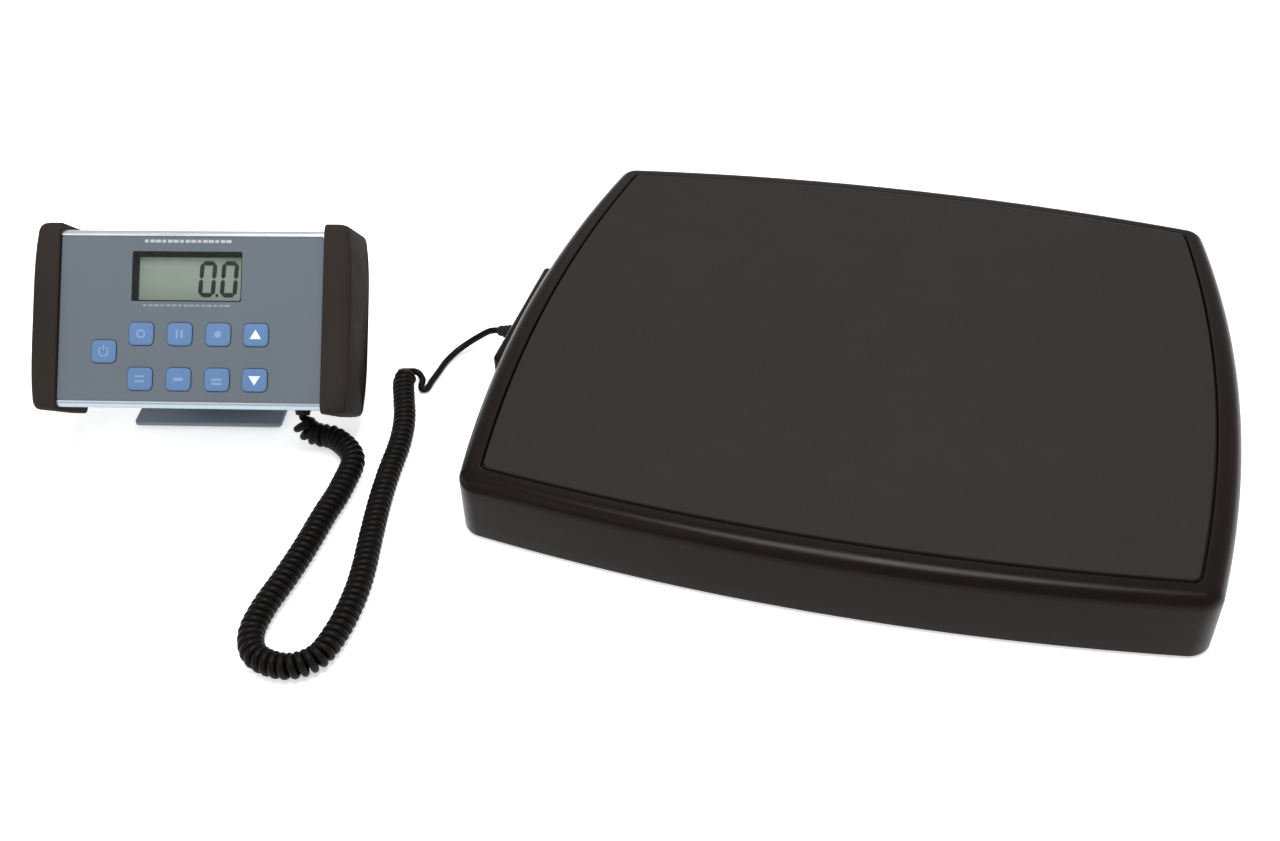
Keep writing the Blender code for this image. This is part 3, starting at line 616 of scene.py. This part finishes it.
def make_pan_screws():
    """Flat screw heads that hold the load cells, four round each foot, under the pan."""
    head = in_mm((1.2, -0.7), (2.2, -0.5), (2.4, 0))
    reach = 14 * MM
    for number in range(1, 5):
        middle = middle_of(f"foot_{number}")
        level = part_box(f"foot_{number}")[1].z + 0.3 * MM
        bm = bmesh.new()
        for side_x in (-1, 1):
            for side_y in (-1, 1):
                turned(head, 20, (middle.x + side_x * reach, middle.y + side_y * reach, level), bm=bm)
        piece(f"cell_screws_{number}", bm, "steel", "base", Matrix.Identity(4))


def make_housing():
    """The cable housing on the platform's left side, with a parting line and a sunk screw at each end."""
    low = Vector((-HOUSING_OUT, HOUSING_Y[0], HOUSING_Z[0]))
    high = Vector((-HOUSING_IN, HOUSING_Y[1], HOUSING_Z[1]))
    housing = piece("side_cable_housing", block(low, high, 2.5 * MM, 5), "cover", "base",
                    replaces=["cable_housing"])
    wall, line, screw_z = 2.2 * MM, 12.2 * MM, 18 * MM
    screws_y = (low.y + 8 * MM, high.y - 8 * MM)
    hollow = block(low + Vector((wall, wall, wall)), high + Vector((PAST, -wall, -wall)))
    groove = block((low.x - PAST, low.y - PAST, line), (low.x + 0.4 * MM, high.y + PAST, line + 0.4 * MM))
    sink = in_mm((2.6, -1), (2.6, 1.2))
    cut(housing, [hollow, groove, *(turned(sink, 24, (low.x, y, screw_z), "X") for y in screws_y)])
    face = low.x + 0.5 * MM
    head = in_mm((0.2, 0.1), (1.8, 0), (2.3, 0.4), (2.3, 0.7))
    for number, y in enumerate(screws_y, 1):
        screw = piece(f"housing_screw_{number}", turned(head, 24, (face, y, screw_z), "X"), "steel", "base")
        cross = [block((face - PAST, y - half_y, screw_z - half_z),
                       (face + 0.35 * MM, y + half_y, screw_z + half_z))
                 for half_y, half_z in ((1.6 * MM, 0.3 * MM), (0.3 * MM, 1.6 * MM))]
        cut(screw, cross)


def relief_profile(length, root, tip, ribs=3):
    """A tapered strain relief as (radius, height): a flange, rings of flexible ribs, and a soft tip.

    The lengths given are in millimetres.
    """
    profile = [(root + 0.4, 0), (root + 0.4, 0.8), (root, 1.1)]
    start, pitch = 1.6, (length - 2.6) / ribs
    for i in range(ribs):
        a, r = start + pitch * i, root + (tip - root) * i / ribs
        profile += [(r, a), (r - 0.45, a + 0.2), (r - 0.45, a + pitch * 0.3), (r - 0.05, a + pitch * 0.45)]
    return in_mm(*profile, (tip, length - 0.9), (tip - 0.3, length - 0.2), (tip - 0.6, length))


def make_platform_grommet():
    """The ribbed strain relief where the cord enters the housing."""
    low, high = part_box("platform_grommet")
    middle = (low + high) / 2
    matrix = Matrix.Translation((high.x, middle.y, middle.z)) @ Matrix.Rotation(-math.pi / 2, 4, "Y")
    relief = turned(relief_profile((high.x - low.x) / MM, 4.0, 2.7), 32)
    piece("platform_strain_relief", relief, "rubber", "base", matrix,
          replaces=["platform_grommet"])


# ------------ display


def side_profile(front, back, low, high, taper, radius_front, radius_back):
    """An outline of the display from the side, as (depth, v), from its upper back corner."""
    corner, straight = 8, 12
    points = arc((back - radius_back, high - radius_back), radius_back, 0, 90, corner)
    points += arc((front + radius_front, high - radius_front), radius_front, 90, 180, corner)
    start, end = high - radius_front, low + radius_front
    points += [(front, start + (end - start) * i / straight) for i in range(1, straight)]
    points += arc((front + radius_front, low + radius_front), radius_front, 180, 270, corner)
    points += arc((back - radius_back, low + taper + radius_back), radius_back, 270, 360, corner)
    start, end = low + taper + radius_back, high - radius_back
    points += [(back, start + (end - start) * i / straight) for i in range(1, straight)]
    return points


def make_case():
    """The extruded case: lips above and below a recessed, open front, a door opening and fine grooves."""
    half = FACE_WIDTH / 2
    outline = side_profile(0, DISPLAY_DEPTH, 0, FACE_HEIGHT, BOTTOM_TAPER, 3 * MM, 6 * MM)
    outside = [[(u, depth, v) for depth, v in outline] for u in (-half, half)]
    case = on_display("display_extrusion", loft(outside), "aluminium",
                      replaces=["display_case"])
    left, right = -half - PAST, half + PAST
    inside = block((left, FACE_RECESS + DISPLAY_WALL, BOTTOM_TAPER + DISPLAY_WALL),
                   (right, DISPLAY_DEPTH - DISPLAY_WALL, FACE_HEIGHT - DISPLAY_WALL))
    face = block((left, -PAST, LIP), (right, FACE_RECESS, FACE_HEIGHT - LIP))
    through = 8 * MM
    openings = [box_at(*WINDOW_CENTRE, *WINDOW_HALF, -PAST, through)]
    key_u, key_v = KEY_HALF[0] + 0.5 * MM, KEY_HALF[1] + 0.5 * MM
    openings += [box_at(key.x, key.z, key_u, key_v, -PAST, through) for key in key_centres().values()]
    border = 4 * MM
    door = block((DOOR[0] + border, DISPLAY_DEPTH - PAST, DOOR[2] + border),
                 (DOOR[1] - border, DISPLAY_DEPTH + PAST, DOOR[3] - border))
    width, sunk = 1.2 * MM, 0.5 * MM
    grooves = [block((left, DISPLAY_DEPTH - sunk, v), (right, DISPLAY_DEPTH + PAST, v + width))
               for v in (8 * MM, 14 * MM, 20 * MM)]
    grooves += [block((left, depth, FACE_HEIGHT - sunk), (right, depth + width, FACE_HEIGHT + PAST))
                for depth in (12 * MM, 17 * MM, 22 * MM)]
    cut(case, [inside, face, door, *openings, *grooves])


def make_caps():
    """The moulded end caps, bowed outwards, with soft edges and a fine groove where they meet the case."""
    middle = FACE_HEIGHT / 2
    soft_edge, flat_share = 3.6 * MM, 0.55
    steps = [(0, 0.5 * MM), (0.03, 0.12 * MM), (0.06, 0), (flat_share, 0)]
    for degrees in (18, 34, 48, 60, 72, 82, 90):
        a = math.radians(degrees)
        steps.append((flat_share + (1 - flat_share) * math.sin(a), soft_edge * (1 - math.cos(a))))
    for name, side in (("left_end_cap", -1), ("right_end_cap", 1)):
        rings = []
        for share, inset in steps:
            low, high = -CAP_BELOW + inset * 0.4, FACE_HEIGHT + CAP_PROUD - inset * 0.4
            front, back = inset - CAP_FRONT, CAP_BACK - inset * 0.3
            ring = []
            for depth, v in side_profile(front, back, low, high, 0, 4 * MM, 3 * MM):
                bow = CAP_BOW * (1 - ((v - middle) / (middle + CAP_PROUD)) ** 4) * share
                ring.append((side * (FACE_WIDTH / 2 + CAP_GAP + CAP_WIDTH * share + bow), depth, v))
            rings.append(ring)
        on_display(name + "_moulding", loft(rings), "cap", 40, [name])


def key_centres():
    """Each key's middle on the display."""
    names = [j["child"] for j in frame["joints"] if j["name"].endswith("_key_press")]
    return {name: DISPLAY.inverted() @ middle_of(name) for name in names}


def plate_outline(u, v, half_u, half_v, radius, depth, steps=5):
    """A rounded rectangle on the display, at a depth."""
    return [(u + x, depth, v + y) for x, y in rounded_rectangle(half_u, half_v, radius, 1, steps)]


def slab(u, v, half_u, half_v, radius, front, back):
    """A rounded plate on the display, from front to back in depth."""
    return loft([plate_outline(u, v, half_u, half_v, radius, depth) for depth in (front, back)])


def box_at(u, v, half_u, half_v, front, back):
    """A square-cornered box on the display, from front to back in depth."""
    return block((u - half_u, front, v - half_v), (u + half_u, back, v + half_v))


def make_overlay():
    """The printed front panel, open for the window and the keys, with its two rows of plain dashes."""
    middle = FACE_HEIGHT / 2
    plate = slab(0, middle, FACE_WIDTH / 2 - 0.2 * MM, middle - LIP - 0.15 * MM, 1.2 * MM, OVERLAY_FRONT,
                 FACE_RECESS)
    panel = on_display("front_panel", plate, "overlay", replaces=["face_overlay"])
    openings = [slab(*WINDOW_CENTRE, *WINDOW_HALF, 1 * MM, -PAST, PAST)]
    key_u, key_v = KEY_HALF[0] + 0.3 * MM, KEY_HALF[1] + 0.3 * MM
    openings += [slab(key.x, key.z, key_u, key_v, 2.8 * MM, -PAST, PAST) for key in key_centres().values()]
    cut(panel, openings)
    for name, look, v, half_v in (("upper_print_line", "print", 82.4 * MM, 0.75 * MM),
                                  ("lower_print_line", "faint_print", 50.6 * MM, 0.5 * MM)):
        bm = bmesh.new()
        for number in range(DASHES):
            u = WINDOW_CENTRE[0] + (number - DASHES // 2) * DASH_PITCH
            half_u = (1.15 + 0.2 * (number % 3 - 1)) * MM
            rings = [plate_outline(u, v, half_u, half_v, 0.3 * MM, depth, 2)
                     for depth in (OVERLAY_FRONT - 0.03 * MM, OVERLAY_FRONT)]
            loft(rings, bm=bm)
        on_display(name, bm, look)


def make_window():
    """The clear window, the dark well behind it, the reflector with a painted shade along its left and upper
    edges, and its segments.
    """
    u, v = WINDOW_CENTRE
    half_u, half_v = (half - 0.2 * MM for half in WINDOW_HALF)
    lens = slab(u, v, half_u, half_v, 0.9 * MM, OVERLAY_FRONT + 0.05 * MM, OVERLAY_FRONT + 0.6 * MM)
    on_display("window_lens", lens, "lens", replaces=["lcd_window"])
    wall, front, back = 0.5 * MM, 1.3 * MM, LCD_DEPTH + 0.2 * MM
    rings = [plate_outline(u, v, half_u + grow, half_v + grow, 1 * MM, depth)
             for grow, depth in ((0, front), (0, back), (-wall, back), (-wall, front))]
    on_display("lcd_well", loft(rings, round_hole=True), "bezel_and_painted_shade")
    reflector = slab(u, v, half_u + 2 * MM, half_v + 2 * MM, 0.4 * MM, LCD_DEPTH + 0.25 * MM,
                     LCD_DEPTH + 1.2 * MM)
    on_display("lcd_reflector", reflector, "lcd", replaces=["lcd_panel"])
    # Painted shade: a dark block along the reflector's left and upper edges stands in for the shadow of the
    # well's walls.
    inset = 0.3 * MM
    left, right = u - WINDOW_HALF[0] + inset, u + WINDOW_HALF[0] - inset
    bottom, top = v - WINDOW_HALF[1] + inset, v + WINDOW_HALF[1] - inset
    painted_shade = block((left, LCD_DEPTH, bottom), (left + 1.6 * MM, back, top - 2.1 * MM))
    block((left, LCD_DEPTH, top - 2.0 * MM), (right, back, top), bm=painted_shade)
    on_display("lcd_painted_shade", painted_shade, "bezel_and_painted_shade")
    make_digits()


def segment(start, end, width, depth, bm):
    """One flat bar with pointed ends between two points of the face."""
    a, b = Vector(start), Vector(end)
    along = (b - a).normalized()
    across = Vector((-along.y, along.x)) * width / 2
    tip = along * width / 2
    outline = [a, a + tip + across, b - tip + across, b, b - tip - across, a + tip - across]
    rings = [[(p.x, d, p.y) for p in outline] for d in (depth, depth + SEGMENT_THICKNESS)]
    loft(rings, bm=bm)


def make_digits():
    """The reading 0.0 in seven-segment figures, leaning a little to the right."""
    bm = bmesh.new()
    depth = LCD_DEPTH + 0.15 * MM
    width, height = DIGIT_SIZE
    stroke, gap, lean = 2.2 * MM, 0.08 * MM, 0.06

    def slanted(u, v):
        return (u + lean * (v - DIGIT_V), v)

    for start in DIGIT_STARTS:
        left, right = start + stroke / 2, start + width - stroke / 2
        low, middle, high = DIGIT_V + stroke / 2, DIGIT_V + height / 2, DIGIT_V + height - stroke / 2
        for u in (left, right):
            segment(slanted(u, low + gap), slanted(u, middle - gap), stroke, depth, bm)
            segment(slanted(u, middle + gap), slanted(u, high - gap), stroke, depth, bm)
        for v in (low, high):
            segment(slanted(left + gap, v), slanted(right - gap, v), stroke, depth, bm)
    u, v, half = DIGIT_STARTS[1] - 1.3 * MM, DIGIT_V + 0.9 * MM, 0.7 * MM
    point = [(u - half, v - half), (u + half, v - half), (u + half, v + half), (u - half, v + half)]
    loft([[(x, d, y) for x, y in point] for d in (depth, depth + SEGMENT_THICKNESS)], bm=bm)
    on_display("lcd_segments", bm, "digit")


def make_keys():
    """Softly domed blue keys, each with a plain printed sign."""
    # Inset and depth, in millimetres, from the skirt to the middle of the face.
    dome = ((0.2, 0.42), (0, 0.3), (0, 0.0), (0.12, -0.15), (0.4, -0.27), (0.9, -0.34), (2.2, -0.39),
            (4.2, -0.4))
    for name, place in key_centres().items():
        rings = []
        for inset, depth in dome:
            half_u, half_v = KEY_HALF[0] - inset * MM, KEY_HALF[1] - inset * MM
            corner = max(2.5 - inset, 0.6) * MM
            rings.append(plate_outline(place.x, place.z, half_u, half_v, corner, depth * MM))
        piece(name + "_cap", loft(rings), "key", name, DISPLAY, 50, [name])
        make_sign(name, place.x, place.z)


def flat_shape(points, bm):
    """A thin printed shape on the keys' faces."""
    loft([[(u, depth, v) for u, v in points] for depth in SIGN_DEPTHS], bm=bm)


def ring_shape(u, v, radius, stroke, start=0, end=360, bm=None):
    """An arc of even stroke, or a whole ring."""
    outer = arc((u, v), radius, start, end, 24)
    inner = arc((u, v), radius - stroke, start, end, 24)
    if end - start < 360:
        flat_shape([*outer, *inner[::-1]], bm)
        return
    front, back = SIGN_DEPTHS
    rings = [[(x, depth, y) for x, y in ring[:-1]]
             for ring, depth in ((outer, front), (inner, front), (inner, back), (outer, back))]
    loft(rings, round_hole=True, bm=bm)


def bar_shape(u, v, half_u, half_v, bm):
    """A plain bar printed on a key."""
    flat_shape([(u - half_u, v - half_v), (u + half_u, v - half_v), (u + half_u, v + half_v),
                (u - half_u, v + half_v)], bm)


def make_sign(name, u, v):
    """The sign on a key: a white arrow on two of them, and plain pale shapes on the rest."""
    bm = bmesh.new()
    if name in ARROW_KEYS:
        arrow = ((-2.9, -2.0), (2.9, -2.0), (0, 2.6))
        flat_shape([(u + x * MM, v + ARROW_KEYS[name] * y * MM) for x, y in arrow], bm)
    elif name == "power_key":
        ring_shape(u, v, 2.6 * MM, 0.7 * MM, 125, 415, bm)
    elif name == "zero_key":
        ring_shape(u, v, 2.2 * MM, 0.8 * MM, bm=bm)
    elif name == "unit_key":
        flat_shape(arc((u, v), 1.7 * MM, 0, 345, 23), bm)
    for x, y, half_x, half_y in SIGN_BARS.get(name, ()):
        bar_shape(u + x * MM, v + y * MM, half_x * MM, half_y * MM, bm)
    look = "mark" if name in ARROW_KEYS else "soft_mark"
    piece(name + "_sign", bm, look, name, DISPLAY)


def make_battery_door():
    """The battery door, with a grip of five grooves and a line along its upper edge."""
    front = DISPLAY_DEPTH + 0.3 * MM
    back = front + 2 * MM
    cover = block((DOOR[0], front, DOOR[2]), (DOOR[1], back, DOOR[3]), 0.7 * MM, 4)
    door = piece("battery_cover", cover, "cap", "battery_door", DISPLAY,
                 replaces=["battery_door"])
    half, border = 14 * MM, 3 * MM
    sinks = []
    for number in range(5):
        low = DOOR[2] + border + number * 2.4 * MM
        sinks.append(block((-half, back - 0.8 * MM, low), (half, back + PAST, low + 1.3 * MM), 0.3 * MM))
    high = DOOR[3] - border
    sinks.append(block((DOOR[0] + border, back - 0.3 * MM, high - 1 * MM),
                       (DOOR[1] - border, back + PAST, high - 0.5 * MM)))
    cut(door, sinks)


def make_display_grommet():
    """The short collar that the cord comes out of, under the display."""
    place = Matrix.Translation((GLAND_U, GLAND_DEPTH, GLAND_TOP))
    matrix = DISPLAY @ place @ Matrix.Rotation(math.pi, 4, "X")
    profile = in_mm((3.9, 0), (3.9, 1.6), (3.6, 1.9), (3.6, 2.9), (3.2, 3.4), (2.2, 3.4))
    piece("display_collar", turned(profile, 40), "rubber", "display", matrix,
          replaces=["display_grommet"])


# ------------ stand


def bar(outline, low, high, bevel, origin=(0, 0)):
    """An outline drawn out along X with softened edges: pairs are Y and Z from the origin."""
    end = 1 - bevel / max(math.hypot(y, z) for y, z in outline)
    rings = []
    for x, share in ((low, end), (low + bevel, 1), (high - bevel, 1), (high, end)):
        rings.append([(x, origin[0] + y * share, origin[1] + z * share) for y, z in outline])
    return loft(rings)


def make_bracket():
    """The bent steel bracket: a plate near the floor and two ears with softened edges, on rubber strips."""
    bevel = 0.4 * MM
    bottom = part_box("stand_bracket")[0].z - STAND.translation.z
    (left, right), (front, back) = BRACKET_SIDES, (-BRACKET_FRONT, BRACKET_BACK)
    middle = ((left + right) / 2, (front + back) / 2)
    rings = []
    for inset, level in ((bevel, 0), (0, bevel), (0, BRACKET_SHEET - bevel), (bevel, BRACKET_SHEET)):
        outline = rounded_rectangle((right - left) / 2 - inset, (back - front) / 2 - inset, 2 * MM)
        rings.append([(x + middle[0], y + middle[1], bottom + level) for x, y in outline])
    piece("bracket_plate", loft(rings), "bracket", "base", STAND, replaces=["stand_bracket"])
    foot, spread = bottom + BRACKET_SHEET / 2, EAR_RADIUS + 5 * MM
    ear = [*arc((0, 0), EAR_RADIUS, 0, 180, 20), (-spread, foot), (spread, foot)]
    inner, outer = EAR_GAP / 2, EAR_GAP / 2 + BRACKET_SHEET
    for name, low, high in (("left_ear", -outer, -inner), ("right_ear", inner, outer)):
        piece(name, bar(ear, low, high, bevel), "bracket", "base", STAND)
    floor, half_x, half_y = -STAND.translation.z, 30 * MM, 3 * MM
    for name, y in (("front", front + 9 * MM), ("rear", back - 5 * MM)):
        strip = block((-half_x, y - half_y, floor), (half_x, y + half_y, floor + PAD_THICKNESS), 0.4 * MM)
        piece(name + "_rubber_strip", strip, "rubber", "base", STAND,
              replaces=[name + "_pad"])


def make_knuckle():
    """The knuckle on the display's back, with softened edges and a bore for the bolt."""
    front, root = DISPLAY_DEPTH - PIVOT_DEPTH + 0.3 * MM, 10 * MM
    outline = [(front, -root), *arc((0, 0), EAR_RADIUS, -90, 90, 20), (front, root)]
    half = EAR_GAP / 2 - 0.5 * MM
    shape = bar(outline, -half, half, 0.5 * MM, (PIVOT_DEPTH, PIVOT_V))
    knuckle = on_display("knuckle", shape, "cap", replaces=["tilt_knuckle"])
    radius = BOLT_RADIUS + 0.3 * MM
    bore = [(radius, -half - PAST), (radius, half + PAST)]
    cut(knuckle, [turned(bore, 32, (0, PIVOT_DEPTH, PIVOT_V), "X")])


def make_bolt():
    """The tilt bolt: a chamfered head with a hexagonal socket, and its shank."""
    head_radius, head_height, bevel = 5 * MM, 3.5 * MM, 0.5 * MM
    head = -EAR_GAP / 2 - BRACKET_SHEET - 0.3 * MM
    top = head - head_height
    end = -head + 1.2 * MM
    profile = [(head_radius - bevel, top), (head_radius, top + bevel), (head_radius, head),
               (BOLT_RADIUS, head), (BOLT_RADIUS, end), (BOLT_RADIUS - bevel, end + bevel)]
    bolt = piece("socket_bolt", turned(profile, 40, axis="X"), "steel", "base", STAND,
                 replaces=["tilt_bolt"])
    socket = 2.6 * MM
    cut(bolt, [turned([(socket, top - PAST), (socket, top + 2 * MM)], 6, axis="X")])


def make_knob():
    """The fluted clamp knob, with a hollow in its outer face."""
    start = (STAND.inverted() @ middle_of("clamp_knob")).x - KNOB_LENGTH / 2
    sides, flutes, plain_radius = 72, 6, 5.6
    # Radius and height, in millimetres.
    profile = [(5.3, 0.1), (5.5, 0.4), (5.5, 2.0), (9.4, 2.4), (10.1, 2.8), (10.4, 3.6), (10.4, 9.0),
               (10.1, 9.9), (9.4, 10.7), (8.4, 11.2), (6.0, 11.4), (plain_radius, 11.1), (2.0, 11.1)]
    rings = []
    for radius, level in profile:
        ring = []
        for i in range(sides):
            a = 2 * math.pi * i / sides
            depth = 0.1 if radius > plain_radius else 0.0
            r = radius * (1 - depth * math.cos(flutes * a)) * MM
            ring.append((start + level * MM, r * math.cos(a), r * math.sin(a)))
        rings.append(ring)
    piece("tilt_knob", loft(rings), "cap", "clamp_knob", STAND, 40, ["clamp_knob"])


# ------------ cord


def smooth_route(points, samples=14):
    """Close points on a smooth curve through the given ones, in metres."""
    given = [Vector(p) * MM for p in points]
    ends = [2 * given[0] - given[1], *given, 2 * given[-1] - given[-2]]
    fine = []
    for before, start, end, after in zip(ends, ends[1:], ends[2:], ends[3:]):
        for i in range(samples):
            t = i / samples
            bend = 2 * before - 5 * start + 4 * end - after
            twist = 3 * start - before - 3 * end + after
            fine.append(0.5 * (2 * start + (end - before) * t + bend * t * t + twist * t * t * t))
    return [*fine, given[-1]]


def along(route, step):
    """Points an even step apart along a route, with the direction there."""
    lengths = [0.0]
    for a, b in zip(route, route[1:]):
        lengths.append(lengths[-1] + (b - a).length)
    count = max(2, round(lengths[-1] / step))
    found, part = [], 0
    for i in range(count + 1):
        target = lengths[-1] * i / count
        while part < len(route) - 2 and lengths[part + 1] < target:
            part += 1
        a, b = route[part], route[part + 1]
        share = (target - lengths[part]) / max(lengths[part + 1] - lengths[part], 1e-9)
        found.append((a.lerp(b, share), (b - a).normalized()))
    return found


def coiled_path():
    """The wire's own path: turns of even pitch round the route, opening from its middle at both ends."""
    places = along(smooth_route(COIL_ROUTE), COIL_PITCH / POINTS_PER_TURN)
    opening = POINTS_PER_TURN // 2
    clearance = 0.05 * MM
    path = []
    side = places[0][1].orthogonal().normalized()
    for i, (centre, forward) in enumerate(places):
        side = (side - forward * side.dot(forward)).normalized()
        other = forward.cross(side)
        spread = min(1.0, i / opening, (len(places) - 1 - i) / opening)
        outer = COIL_RADIUS[0] + (COIL_RADIUS[1] - COIL_RADIUS[0]) * i / len(places)
        radius = (outer - WIRE_RADIUS - clearance) * math.sin(spread * math.pi / 2)
        angle = 2 * math.pi * i / POINTS_PER_TURN
        path.append(centre + radius * (side * math.cos(angle) + other * math.sin(angle)))
    return path


def eased(path, middle):
    """The path with its corner near that point rounded off, by drawing its points together."""
    reach, passes, pull = 8, 14, 0.6
    for _ in range(passes):
        for i in range(middle - reach, middle + reach + 1):
            path[i] = path[i].lerp((path[i - 1] + path[i + 1]) / 2, pull)
    return path


def cord_path():
    """From the display's collar, round the coil's turns, to the platform's strain relief."""
    inlet = [DISPLAY @ Vector((GLAND_U, GLAND_DEPTH, GLAND_TOP - v * 0.3 * MM)) for v in range(1, 11)]
    coil = coiled_path()
    tail = [place for place, _ in along(smooth_route(PLATFORM_TAIL), 1.2 * MM)]
    low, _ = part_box("platform_grommet")
    inside = Vector((low.x + 4 * MM, tail[-1].y, tail[-1].z))
    path = eased([*inlet, *coil, *tail[2:], inside], len(inlet))
    return eased(path, len(inlet) + len(coil))


def tube(path, radius, sides=10):
    """A round tube along the path, closed at both ends."""
    angles = [2 * math.pi * k / sides for k in range(sides)]
    rings = []
    side = (path[1] - path[0]).orthogonal().normalized()
    for i, place in enumerate(path):
        forward = (path[min(i + 1, len(path) - 1)] - path[max(i - 1, 0)]).normalized()
        side = (side - forward * side.dot(forward)).normalized()
        other = forward.cross(side)
        rings.append([place + radius * (side * math.cos(a) + other * math.sin(a)) for a in angles])
    return loft(rings)


def make_cord():
    """The curly cord in one piece, bending from the display to the floor."""
    path = cord_path()
    mesh = mesh_of("curly_cord", tube(path, WIRE_RADIUS))
    mesh.shade_smooth()
    cord = in_scene("curly_cord", mesh)
    dress(cord, "cord")
    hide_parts("coil_rise", "coil_run", "platform_tail")
    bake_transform(cord)


# ------------ stage


def make_camera():
    """The camera that the scene is seen through."""
    data = bpy.data.cameras.new("camera")
    data.lens = CAMERA_LENS
    data.sensor_width = 36
    data.clip_start, data.clip_end = 0.01, 50
    camera = in_scene("camera", data)
    facing = (LOOK_AT - CAMERA_AT).to_track_quat("-Z", "Y").to_matrix().to_4x4()
    camera.matrix_world = Matrix.Translation(CAMERA_AT) @ facing @ Matrix.Rotation(CAMERA_ROLL, 4, "Z")
    scene.camera = camera


def make_floor():
    """A plain floor, close to white."""
    bm = bmesh.new()
    bmesh.ops.create_grid(bm, x_segments=1, y_segments=1, size=6)
    mesh = bpy.data.meshes.new("floor")
    bm.to_mesh(mesh)
    bm.free()
    floor = in_scene("floor", mesh)
    floor.location.z = -0.2 * MM
    look = Look("floor_paint")
    look.colour(look.blend(look.noise(3), (0.93, 0.93, 0.93), (0.95, 0.95, 0.95)))
    look.set(Roughness=0.9, Specular_IOR_Level=0.1, Emission_Color=(1, 1, 1, 1), Emission_Strength=0.5)
    mesh.materials.append(look.material)


def make_light(name, energy, size, place):
    """A square area light of that many watts, aimed at the middle."""
    data = bpy.data.lights.new(name, "AREA")
    data.shape = "SQUARE"
    data.size = size
    data.energy = energy
    light = in_scene(name, data)
    light.location = place
    light.rotation_mode = "QUATERNION"
    light.rotation_quaternion = (-Vector(place)).to_track_quat("-Z", "Y")


def make_lights():
    """A white room, with soft lights behind, above and in front."""
    world = scene.world or bpy.data.worlds.new("studio")
    scene.world = world
    world.use_nodes = True
    background = world.node_tree.nodes["Background"]
    background.inputs["Color"].default_value = (1, 1, 1, 1)
    background.inputs["Strength"].default_value = 0.55
    make_light("back_light", 1.5, 1.0, (-0.1, 1.3, 1.0))
    make_light("top_light", 25, 0.75, (0.1, -0.15, 1.7))
    make_light("front_light", 4, 1.2, (-0.8, -1.2, 1.1))
    scene.view_settings.view_transform = "Standard"


# ------------ build


def dress_frame():
    """Gives every CAD node that still shows its procedural material, by its name without a number."""
    looks = {
        "steel": ("deck_plate", "base_pan", "load_pin", "load_cell"),
        "board": ("junction_board", "main_board"),
        "nylon": ("cable_socket", "battery_holder", "cell_mount"),
        "jacket": ("battery",),
    }
    for node, obj in frame["nodes"].items():
        if not obj.hide_render:
            dress(obj, next(look for look, names in looks.items() if node.rstrip("_1234") in names))


make_camera()
make_floor()
make_lights()
make_cord()
make_cover()
make_mat()
make_feet()
make_housing()
make_platform_grommet()
make_case()
make_caps()
make_overlay()
make_window()
make_keys()
make_battery_door()
make_display_grommet()
make_bracket()
make_knuckle()
make_bolt()
make_knob()
make_pan_screws()
dress_frame()
